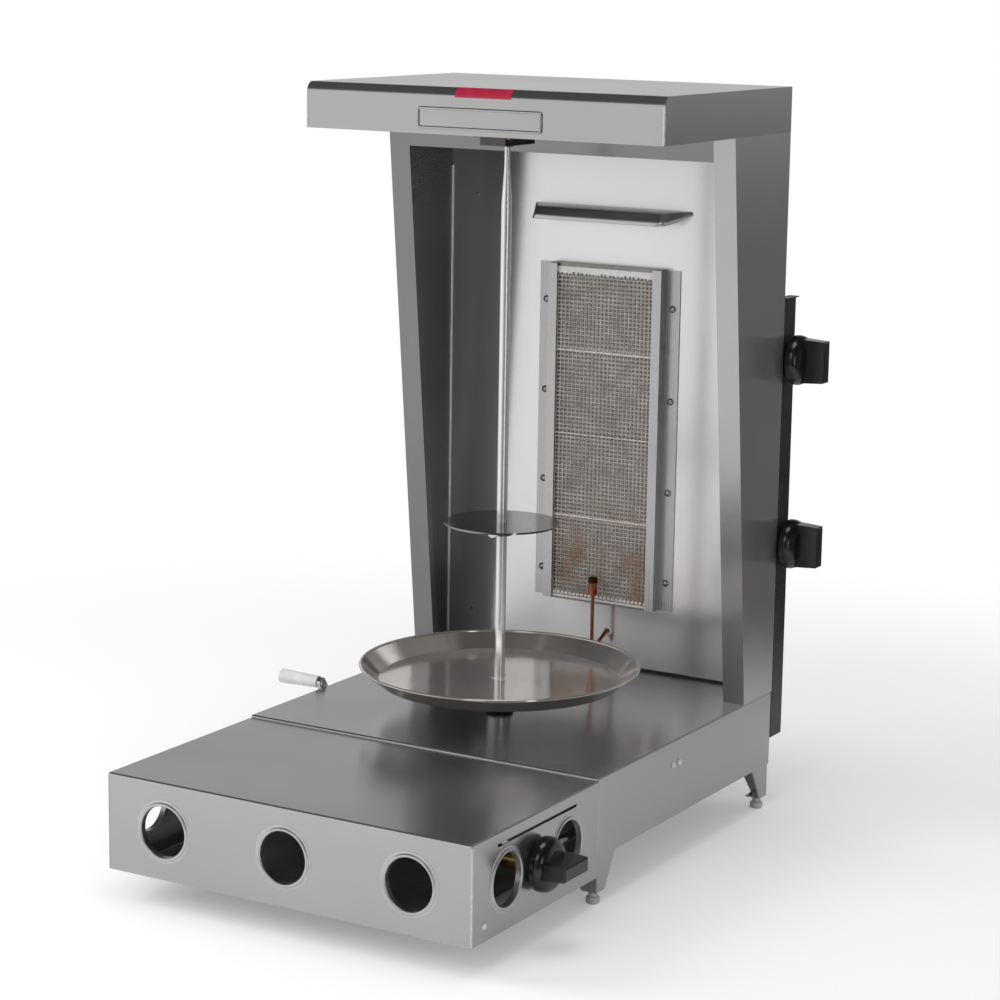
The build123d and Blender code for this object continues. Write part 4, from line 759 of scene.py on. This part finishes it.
def fibreStrips(look):
    low, high = placed("burner_mesh")
    back = placed("upper_plaques")[0].y - look["gap"]
    plaqueFoot = placed("lower_plaques")[0].z
    plaqueHead = placed("upper_plaques")[1].z
    boxFoot = placed("lower_gas_box")[0].z
    plaqueTall = (plaqueHead - plaqueFoot) / look["plaques"]
    # middle, height and front of each strip
    laid = [
        (plaqueFoot + plaqueTall * k, look["jointHeight"], high.y - look["jointPress"])
        for k in range(1, look["plaques"])
    ]
    headMiddle = plaqueHead + look["headOver"] - look["headHeight"] / 2
    footMiddle = boxFoot + look["footOver"] + look["footHeight"] / 2
    laid.append((headMiddle, look["headHeight"], high.y - look["headPress"]))
    laid.append((footMiddle, look["footHeight"], high.y - look["footPress"]))
    steps = round((high.x - low.x) / look["step"])
    sweeps = []
    for z, tall, front in laid:
        rings = []
        for k in range(steps + 1):
            x = low.x + (high.x - low.x) * k / steps
            half = tall / 2 + look["lump"] * math.sin(look["wave"] * k + z)
            ring = []
            for a in range(look["sides"]):
                turn = 2 * math.pi * (a + 0.5) / look["sides"]
                deep, tip = (
                    max(-1, min(1, look["square"] * share)) for share in (math.cos(turn), math.sin(turn))
                )
                ring.append(at(x, (front + back) / 2 + (back - front) / 2 * deep, z + half * tip))
            rings.append(ring)
        sweeps.append(rings)
    points, faces = sweepAll(sweeps)
    addPiece("fibreStrips", points, faces, fibre, sharpAbove=60)


fibreStrips(strips)
print("burner dressed")

# Louvre: one pressing, with a roof that falls gently to a sloped lip and ends that run back to the panel.
louvre = {
    "lip": 8.0,  # how far the lip leans out from its top to its foot, mm
    "roofFall": 2.4,
    "taper": (12.0, 24.0),  # how much shorter the front is than the root, left and right
    "corner": (2.5, 8.0),
    "topEase": 0.6,  # corners at the top of the lip, as a share of those at its foot
    "topInset": 1.0,
    "endRise": 12.0,  # the foot of the lip rises to the panel by this much
    "endCurve": 1.3,
    "footLift": 0.2,
    "frontGap": 0.1,
    "panelGap": 0.05,
    "roofBend": 0.93,  # shares along the roof and down the lip where the round between them starts and ends
    "lipBend": 0.12,
    "lipMiddle": 0.55,
    "sheet": 1.0,
    "steps": 7,
}


def louvrePath(half, depth, look, ease):
    # plan of one edge from the left root to the right root: slanted end, round corner, straight front
    halves = []
    for side, taper, corner in zip((-1, 1), look["taper"], look["corner"]):
        root, turn = Vector((side * half, 0)), Vector((side * (half - taper), depth))
        first = turn + (root - turn).normalized() * corner * ease
        last = turn - Vector((side * corner * ease, 0))
        shares = [k / look["steps"] for k in range(look["steps"])]
        way = [Vector((0, depth)).lerp(last, t) for t in shares]
        way += [last.lerp(turn, t).lerp(turn.lerp(first, t), t) for t in shares]
        way += [first.lerp(root, t) for t in shares] + [root]
        halves.append(way)
    return list(reversed(halves[0][1:])) + halves[1]


def pressedLouvre(look):
    low, high = placed("louvre_hood")
    middle, panel = (low.x + high.x) / 2, high.y - look["panelGap"]
    half, depth = (high.x - low.x) / 2, high.y - low.y
    foot = louvrePath(half, depth - look["frontGap"], look, 1.0)
    top = louvrePath(half - look["topInset"], depth - look["lip"], look, look["topEase"])
    roofBend, lipBend = look["roofBend"], look["lipBend"]
    rows = []
    for outer, inner in zip(foot, top):
        reach = outer.y / depth
        footZ = low.z + look["footLift"] + look["endRise"] * (1 - reach) ** look["endCurve"]
        root = Vector((inner.x, 0, high.z))
        bend = Vector((inner.x, inner.y, high.z - look["roofFall"] * reach))
        edge = Vector((outer.x, outer.y, footZ))
        row = [root, root.lerp(bend, 0.5), root.lerp(bend, roofBend)]
        # a small round where the roof turns into the lip
        for t in (0.33, 0.67):
            row.append(root.lerp(bend, roofBend + (1 - roofBend) * t).lerp(bend.lerp(edge, lipBend * t), t))
        row += [bend.lerp(edge, lipBend), bend.lerp(edge, look["lipMiddle"]), edge]
        rows.append([at(middle + p.x, panel - p.y, p.z) for p in row])
    count = len(rows[0])
    points = [p for row in rows for p in row]
    faces = [
        (r * count + i, (r + 1) * count + i, (r + 1) * count + i + 1, r * count + i + 1)
        for r in range(len(rows) - 1)
        for i in range(count - 1)
    ]
    # the roof takes the panel's paler copy of the sheet, painted light, and the lip the ordinary darker
    # sheet, painted shade
    piece = addPiece("pressedLouvre", points, faces, steelLit, sharpAbove=60)
    piece.data.materials.append(steelLevel)
    lipEnd = half - look["taper"][1] - look["corner"][1] / 2
    roofFaces = 3  # faces of a row before the lip begins
    for face in piece.data.polygons:
        station, across = divmod(face.index, count - 1)
        onLip = across >= roofFaces and foot[station].x < lipEnd
        face.material_index = int(onLip)
    thick = piece.modifiers.new("sheet", "SOLIDIFY")
    thick.thickness = look["sheet"] * mm
    thick.offset = -1
    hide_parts("louvre_hood")


pressedLouvre(louvre)

plateRaise = 1.0  # the plate stands this far proud of the hood's front, mm

# Red strip glued over the rounded edge of the hood.
redStrip = {
    "left": -29.0,
    "right": 37.0,
    "round": 11.0,  # radius of the hood's edge
    "from": 6.0,  # degrees round that edge
    "to": 76.0,
    "lift": 0.12,
    "thick": 0.15,
    "arcSteps": 12,
}


def gluedStrip(look):
    low, high = placed("hood_shell")
    middleY, middleZ = low.y + plateRaise + look["round"], high.z - look["round"]
    inner = look["round"] + look["lift"]
    outer = inner + look["thick"]
    corners = ((outer, look["left"]), (outer, look["right"]), (inner, look["right"]), (inner, look["left"]))
    rings = []
    for k in range(look["arcSteps"] + 1):
        turn = math.radians(look["from"] + (look["to"] - look["from"]) * k / look["arcSteps"])
        rings.append([
            at(x, middleY - radius * math.cos(turn), middleZ + radius * math.sin(turn))
            for radius, x in corners
        ])
    points, faces = sweepRings(rings)
    addPiece("gluedStrip", points, faces, made["vinylRed"])


gluedStrip(redStrip)

# Border of the plate, pressed up from the sheet: a round ridge along its outline.
ridge = {
    "width": 144.0,
    "height": 19.6,
    "corner": 2.0,
    "drop": 31.4,  # from the top of the hood to the middle of the plate
    "half": 1.4,
    "rise": 0.9,
    "bendSteps": 6,
    "sides": 10,
}


def plateRidge(look):
    low, high = placed("hood_shell")
    middle = Vector((0, low.y, high.z - look["drop"]))
    straightX, straightZ = look["width"] / 2 - look["corner"], look["height"] / 2 - look["corner"]
    rings = []
    for quarter, (x, z) in enumerate(((1, 1), (-1, 1), (-1, -1), (1, -1))):
        bend = middle + Vector((x * straightX, 0, z * straightZ))
        for k in range(look["bendSteps"] + 1):
            turn = math.pi / 2 * (quarter + k / look["bendSteps"])
            out = Vector((math.cos(turn), 0, math.sin(turn)))
            rings.append([
                at(*(
                    bend + out * (look["corner"] + look["half"] * math.cos(a))
                    + Vector((0, look["rise"] * math.sin(a), 0))
                ))
                for a in anglesRound(look["sides"])
            ])
    points, faces = sweepRings(rings, looped=True)
    addPiece("plateRidge", points, faces, steelHood, sharpAbove=70)


plateRidge(ridge)

# Beads along the front corners of the hood and of the griddle, ground down unevenly: a weld on the hood, and
# on the griddle's folded corners a bright strip that is painted highlight.
weldAndHighlight = {
    "hood": {
        "radius": 1.5,
        "inset": 0.5,
        "behind": plateRaise + 0.5,  # from the front of the box to the middle of the bead
        "foot": 0.8,
        "short": redStrip["round"],  # how much shorter the bead is than the corner
        "out": (0.6, -0.8),  # the way it stands out on the right side
    },
    # on the griddle, whose corners are folded, the bead is a painted highlight
    "griddle": {
        "radius": 1.3,
        "inset": 0.6,
        "behind": 0.6,
        "foot": 1.0,
        "short": 4.0,
        "out": (0.7, -0.7),
    },
    "step": 1.6,
    "sides": 6,
    "uneven": 0.2,
    "flat": 0.5,  # the bead stands out by this share of its radius
}


def layBead(name, path, out, radius, look):
    side = Vector((out.y, -out.x, 0)).normalized()
    rings = []
    for k, p in enumerate(path):
        size = radius * (1 - look["uneven"] * scatter(k * 3 + 1))
        rings.append([
            at(*(p + side * (size * math.cos(a)) + out * (size * look["flat"] * math.sin(a))))
            for a in anglesRound(look["sides"])
        ])
    points, faces = sweepRings(rings)
    addPiece(name, points, faces, made["weldGroundAndHighlight"])


def cornerWeldsAndHighlights(look):
    for wall, node in (("hood", "hood_shell"), ("griddle", "griddle_casing")):
        low, high = placed(node)
        bead = look[wall]
        tall = high.z - low.z - bead["short"]
        steps = round(tall / look["step"])
        y, foot = low.y + bead["behind"], low.z + bead["foot"]
        for side, name in ((-1, "Left"), (1, "Right")):
            x = (low.x if side < 0 else high.x) - side * bead["inset"]
            out = Vector((side * bead["out"][0], bead["out"][1], 0))
            path = [Vector((x, y, foot + tall * k / steps)) for k in range(steps + 1)]
            layBead(wall + "Weld" + name, path, out, bead["radius"], look)


cornerWeldsAndHighlights(weldAndHighlight)

# Seams in the two back corners, where the panel meets the wings: a narrow bead in pale steel whose bright
# line is painted highlight.
seamHighlight = {
    "radius": 1.6,
    "sunk": 0.4,  # share of the radius by which the middle stands off the two sheets
    "wingSheet": 1.2,
    "step": 14.0,
    "sides": 12,
    "uneven": 0.03,
    "lift": 6.0,
    "drop": 30.0,
}


def backSeamHighlights(look):
    panel = placed("back_panel")
    head = placed("header_strip")[0].z
    bottom, top = panel[0].z + look["lift"], head - look["drop"]
    steps = round((top - bottom) / look["step"])
    for wing, name, inward in (("left_wing", "Left", 1), ("right_wing", "Right", -1)):
        low, high = placed(wing)
        x = (low.x if inward > 0 else high.x) + inward * (look["wingSheet"] + look["radius"] * look["sunk"])
        rings = []
        for k in range(steps + 1):
            radius = look["radius"] * (1 + look["uneven"] * (scatter(7 * k) - 0.5))
            z = bottom + (top - bottom) * k / steps
            rings.append([
                at(x + radius * math.cos(a), panel[0].y + radius * (math.sin(a) - look["sunk"]), z)
                for a in anglesRound(look["sides"])
            ])
        points, faces = sweepRings(rings)
        addPiece("backSeamHighlight" + name, points, faces, steelDrawnLit)


backSeamHighlights(seamHighlight)

# A dark strip along the foot of the back panel, where it stands on the base, shaped like a run of sealant:
# painted shadow for the gap there.
shadowGap = {
    "reach": 193.0,
    "size": 3.0,
    "gap": 0.02,
    "hollow": ((0.35, 0.72), (0.62, 0.42)),  # two points of its smoothed face, as shares of its size
    "step": 9.0,
    "uneven": 0.25,
}


def panelShadowGap(look):
    front = placed("back_panel")[0].y
    foot = placed("base_shell")[1].z
    gap = look["gap"]
    steps = round(2 * look["reach"] / look["step"])
    rings = []
    for k in range(steps + 1):
        x = -look["reach"] + 2 * look["reach"] * k / steps
        size = look["size"] * (1 + look["uneven"] * (scatter(5 * k) - 0.5))
        ring = [at(x, front - gap, foot + size)]
        ring += [at(x, front - size * out, foot + size * up) for out, up in look["hollow"]]
        ring += [at(x, front - size, foot + gap), at(x, front - gap, foot + gap)]
        rings.append(ring)
    points, faces = sweepRings(rings)
    addPiece("panelShadowGap", points, faces, made["shadowGapDark"], sharpAbove=50)


panelShadowGap(shadowGap)

# Fasteners: cross-head screws in the rails, small flat rivets in the panel, and domed rivets in the sides of
# the griddle and of the base.
fasteners = {
    "screwRadius": 4.0,
    "screwHeight": 2.8,
    "rivetRadius": 2.1,
    "rivetHeight": 0.9,
    "domeRadius": 3.4,
    "domeHeight": 2.4,
    "fall": 0.95,  # how far a head falls away to its rim, and how late
    "fallCurve": 2.6,
    "eye": 0.05,  # radius of the flat in the middle, as a share
    "crossHalf": 2.1,
    "crossWidth": 0.55,
    "crossDepth": 0.9,
    "railRows": 4,
    "railPitch": 102.6,
    "railMiddle": 391.4,
    "railInset": 8.65,  # middle of the flange
    "railSheet": 1.2,
    "panelX": 175.0,
    "panelZ": (176.0, 658.0),
    "casingY": -218.0,
    "casingZ": 46.0,
    "braceY": (159.6, 174.2),
    "braceZ": 106.0,
    "rings": 9,
    "sides": 40,
}


def fastenerSeats(look):
    seats = []
    for rail, inward in (("left_rail", 1), ("right_rail", -1)):
        low, high = placed(rail)
        x = (low.x if inward > 0 else high.x) + inward * look["railInset"]
        for row in range(look["railRows"]):
            z = look["railMiddle"] + (row - (look["railRows"] - 1) / 2) * look["railPitch"]
            seats.append((Vector((x, high.y - look["railSheet"], z)), Vector((0, -1, 0)), "screw"))
    panel = placed("back_panel")[0].y
    for x in (-look["panelX"], look["panelX"]):
        for z in look["panelZ"]:
            seats.append((Vector((x, panel, z)), Vector((0, -1, 0)), "rivet"))
    low, high = placed("griddle_casing")
    for x, out in ((low.x, -1), (high.x, 1)):
        seats.append((Vector((x, look["casingY"], look["casingZ"])), Vector((out, 0, 0)), "dome"))
    for y in look["braceY"]:
        seats.append((Vector((placed("base_shell")[1].x, y, look["braceZ"])), Vector((1, 0, 0)), "dome"))
    return seats


def makeFasteners(look):
    heads, peened = [], []
    for number, (place, out, kind) in enumerate(fastenerSeats(look)):
        radius, height = look[kind + "Radius"], look[kind + "Height"]
        side = out.cross(Vector((0, 0, 1)))
        up = side.cross(out)
        turn = 2 * math.pi * scatter(number)
        profile = [(1.0, 0.0)]  # radius and rise, from the rim to the middle
        for k in range(look["rings"], -1, -1):
            share = max(k / look["rings"], look["eye"])
            profile.append((share, height * math.sqrt(1 - look["fall"] * share ** look["fallCurve"])))
        rings = []
        for share, rise in profile:
            ring = []
            for a in anglesRound(look["sides"]):
                u, v = radius * share * math.cos(a), -radius * share * math.sin(a)
                near, far = sorted((abs(u), abs(v)))
                inCross = kind == "screw" and near < look["crossWidth"] and far < look["crossHalf"]
                across = side * (u * math.cos(turn) - v * math.sin(turn))
                upward = up * (u * math.sin(turn) + v * math.cos(turn))
                ring.append(at(*(place + across + upward + out * (rise - look["crossDepth"] * inCross))))
            rings.append(ring)
        heads.append(rings)
        headFaces = (len(rings) - 1) * look["sides"] + 2
        peened += [int(kind == "dome")] * headFaces
    points, faces = sweepAll(heads)
    piece = addPiece("fasteners", points, faces, made["zincPlated"], sharpAbove=35)
    piece.data.materials.append(made["aluminiumPeened"])
    piece.data.polygons.foreach_set("material_index", peened)
    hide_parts("panel_screws")


makeFasteners(fasteners)

# Grommet round the sensor tube where it passes through the panel: a moulded ring.
grommet = {"x": 5.4, "z": 173.0, "ring": 4.6, "thick": 1.4, "deep": 0.9, "around": 28, "section": 10}


def sensorGrommet(look):
    front = placed("back_panel")[0].y
    rings = []
    for a in anglesRound(look["around"]):
        ring = []
        for b in anglesRound(look["section"]):
            radius = look["ring"] + look["thick"] * math.cos(b)
            y = front - look["thick"] * look["deep"] * (1 - math.sin(b))
            ring.append(at(look["x"] + radius * math.cos(a), y, look["z"] + radius * math.sin(a)))
        rings.append(ring)
    points, faces = sweepRings(rings, looped=True)
    addPiece("sensorGrommet", points, faces, made["siliconePale"])


sensorGrommet(grommet)
print("pieces made")

# A white paper floor in a dark studio, with one bright side at the left. The camera sees the floor run on
# white without an edge, and near the grill it keeps the shadow.
studio = {
    "paper": "#efefee",
    "floorHalf": 2.2,
    "whiteFrom": (0.7, 1.5),  # metres from the grill over which the floor turns plain white for the camera
    "lift": 0.25,  # what the camera sees added to the lit paper
    "shinyFrom": (0.7, 1.3),  # metres over which metal stops showing the lit paper and shows the room
    "sky": 0.45,  # light from all round on what is not shiny
    "dark": 0.10,  # the room as metal shows it: its dark side, its bright left, the wall behind, the ceiling
    "bright": 1.0,
    "wall": 0.46,
    "ceiling": 0.05,
    "backShare": 0.37,  # the left behind the grill, as a share of the left in front
    "leftFrom": (0.3, -0.6),  # the slants of view over which each of them comes in
    "frontFrom": (0.4, -0.6),
    "behindFrom": (0.2, 0.6),
    "upperFrom": (-0.08, -0.04),
    "ceilingFrom": (0.27, 0.5),
}


def makeFloor(look):
    half = look["floorHalf"]
    mesh = bpy.data.meshes.new("paperFloor")
    corners = [(-half, -half, 0), (half, -half, 0), (half, half, 0), (-half, half, 0)]
    mesh.from_pydata(corners, [], [(0, 1, 2, 3)])
    floor = bpy.data.objects.new("paperFloor", mesh)
    scene.collection.objects.link(floor)
    material, tree, shader = startMaterial("paperWhite")
    matt = {"Base Color": linear(look["paper"]), "Roughness": 0.9, "Specular IOR Level": 0.1}
    joinUp(tree, shader, {}, matt)
    place = addNode(tree, "ShaderNodeTexCoord").outputs["Object"]
    far = addNode(tree, "ShaderNodeVectorMath", {0: place}, operation="LENGTH").outputs["Value"]
    path = addNode(tree, "ShaderNodeLightPath").outputs
    shades = {}
    for key, ray in (("whiteFrom", "Is Camera Ray"), ("shinyFrom", "Is Glossy Ray")):
        start, end = look[key]
        away = addNode(
            tree, "ShaderNodeMapRange", {0: far, 1: start, 2: end}, interpolation_type="SMOOTHSTEP"
        ).outputs[0]
        shades[key] = addNode(
            tree, "ShaderNodeMath", {0: away, 1: path[ray]}, operation="MULTIPLY"
        ).outputs[0]
    lift = addNode(
        tree, "ShaderNodeMath", {0: path["Is Camera Ray"], 1: look["lift"]}, operation="MULTIPLY"
    ).outputs[0]
    glow = addNode(tree, "ShaderNodeEmission", {"Strength": lift}).outputs[0]
    paper = addNode(tree, "ShaderNodeAddShader", {0: shader.outputs[0], 1: glow}).outputs[0]
    white = addNode(tree, "ShaderNodeEmission", {"Strength": 1.0}).outputs[0]
    clear = addNode(tree, "ShaderNodeBsdfTransparent").outputs[0]
    seen = addNode(tree, "ShaderNodeMixShader", {0: shades["whiteFrom"], 1: paper, 2: white}).outputs[0]
    shown = addNode(tree, "ShaderNodeMixShader", {0: shades["shinyFrom"], 1: seen, 2: clear}).outputs[0]
    out = next(n for n in tree.nodes if n.type == "OUTPUT_MATERIAL")
    tree.links.new(shown, out.inputs["Surface"])
    mesh.materials.append(material)


makeFloor(studio)


# Softboxes and one narrow strip: place and target in mm, size in metres, and whether metal shows the lamp.
lamps = {
    "keySoftbox": {
        "place": (-2100, -900, 1700), "target": (0, 100, 250),
        "size": (1.4, 1.4), "watts": 27, "shown": False,
    },
    "frontSoftbox": {
        "place": (-700, -2300, 1300), "target": (0, 300, 450),
        "size": (1.2, 1.2), "watts": 10, "shown": False,
    },
    "highSoftbox": {
        "place": (350, -2100, 1750), "target": (0, 200, 300),
        "size": (0.8, 1.0), "watts": 5, "shown": True,
    },
    "topSoftbox": {
        "place": (200, 0, 2400), "target": (0, 100, 250),
        "size": (1.0, 1.0), "watts": 9, "shown": True,
    },
    "edgeStrip": {
        "place": (1750, -1050, 500), "target": (200, -100, 300),
        "size": (0.25, 1.3), "watts": 3, "shown": True,
    },
}


def makeLamp(name, look):
    data = bpy.data.lights.new(name, "AREA")
    data.shape = "RECTANGLE"
    data.size, data.size_y = look["size"]
    data.energy = look["watts"]
    lamp = bpy.data.objects.new(name, data)
    place, target = at(*look["place"]), at(*look["target"])
    lamp.location = place
    lamp.rotation_euler = (target - place).to_track_quat("-Z", "Y").to_euler()
    lamp.visible_glossy = look["shown"]
    scene.collection.objects.link(lamp)


for name, look in lamps.items():
    makeLamp(name, look)


def makeAir(look):
    # white for the camera; metal shows a room with a dark ceiling, brighter towards the left front
    world = bpy.data.worlds.new("studioAir")
    scene.world = world
    world.use_nodes = True
    tree = world.node_tree
    tree.nodes.clear()
    way = addNode(tree, "ShaderNodeTexCoord").outputs["Generated"]
    part = addNode(tree, "ShaderNodeSeparateXYZ", {0: way}).outputs
    share = {}
    for side, axis in (("left", 0), ("front", 1), ("behind", 1), ("upper", 2), ("ceiling", 2)):
        start, end = look[side + "From"]
        share[side] = addNode(
            tree, "ShaderNodeMapRange", {0: part[axis], 1: start, 2: end}, interpolation_type="SMOOTHSTEP"
        ).outputs[0]
    front = addNode(tree, "ShaderNodeMix", {0: share["front"], 2: look["backShare"], 3: 1.0}).outputs[0]
    glow = addNode(tree, "ShaderNodeMath", {0: share["left"], 1: front}, operation="MULTIPLY").outputs[0]
    wallShare = addNode(
        tree, "ShaderNodeMath", {0: share["behind"], 1: share["upper"]}, operation="MULTIPLY"
    ).outputs[0]
    wall = addNode(tree, "ShaderNodeMix", {0: wallShare, 2: look["dark"], 3: look["wall"]}).outputs[0]
    room = addNode(tree, "ShaderNodeMix", {0: glow, 2: wall, 3: look["bright"]}).outputs[0]
    shown = addNode(tree, "ShaderNodeMix", {0: share["ceiling"], 2: room, 3: look["ceiling"]}).outputs[0]
    path = addNode(tree, "ShaderNodeLightPath").outputs
    shiny = addNode(tree, "ShaderNodeMix", {0: path["Is Glossy Ray"], 2: look["sky"], 3: shown}).outputs[0]
    seen = addNode(
        tree,
        "ShaderNodeMath",
        {0: path["Is Camera Ray"], 1: path["Is Transmission Ray"]},
        operation="MAXIMUM",
    ).outputs[0]
    strength = addNode(tree, "ShaderNodeMix", {0: seen, 2: shiny, 3: 1.0}).outputs[0]
    air = addNode(tree, "ShaderNodeBackground", {"Color": (1, 1, 1, 1), "Strength": strength}).outputs[0]
    addNode(tree, "ShaderNodeOutputWorld", {"Surface": air})


makeAir(studio)
scene.view_settings.view_transform = "Standard"
print("studio set")
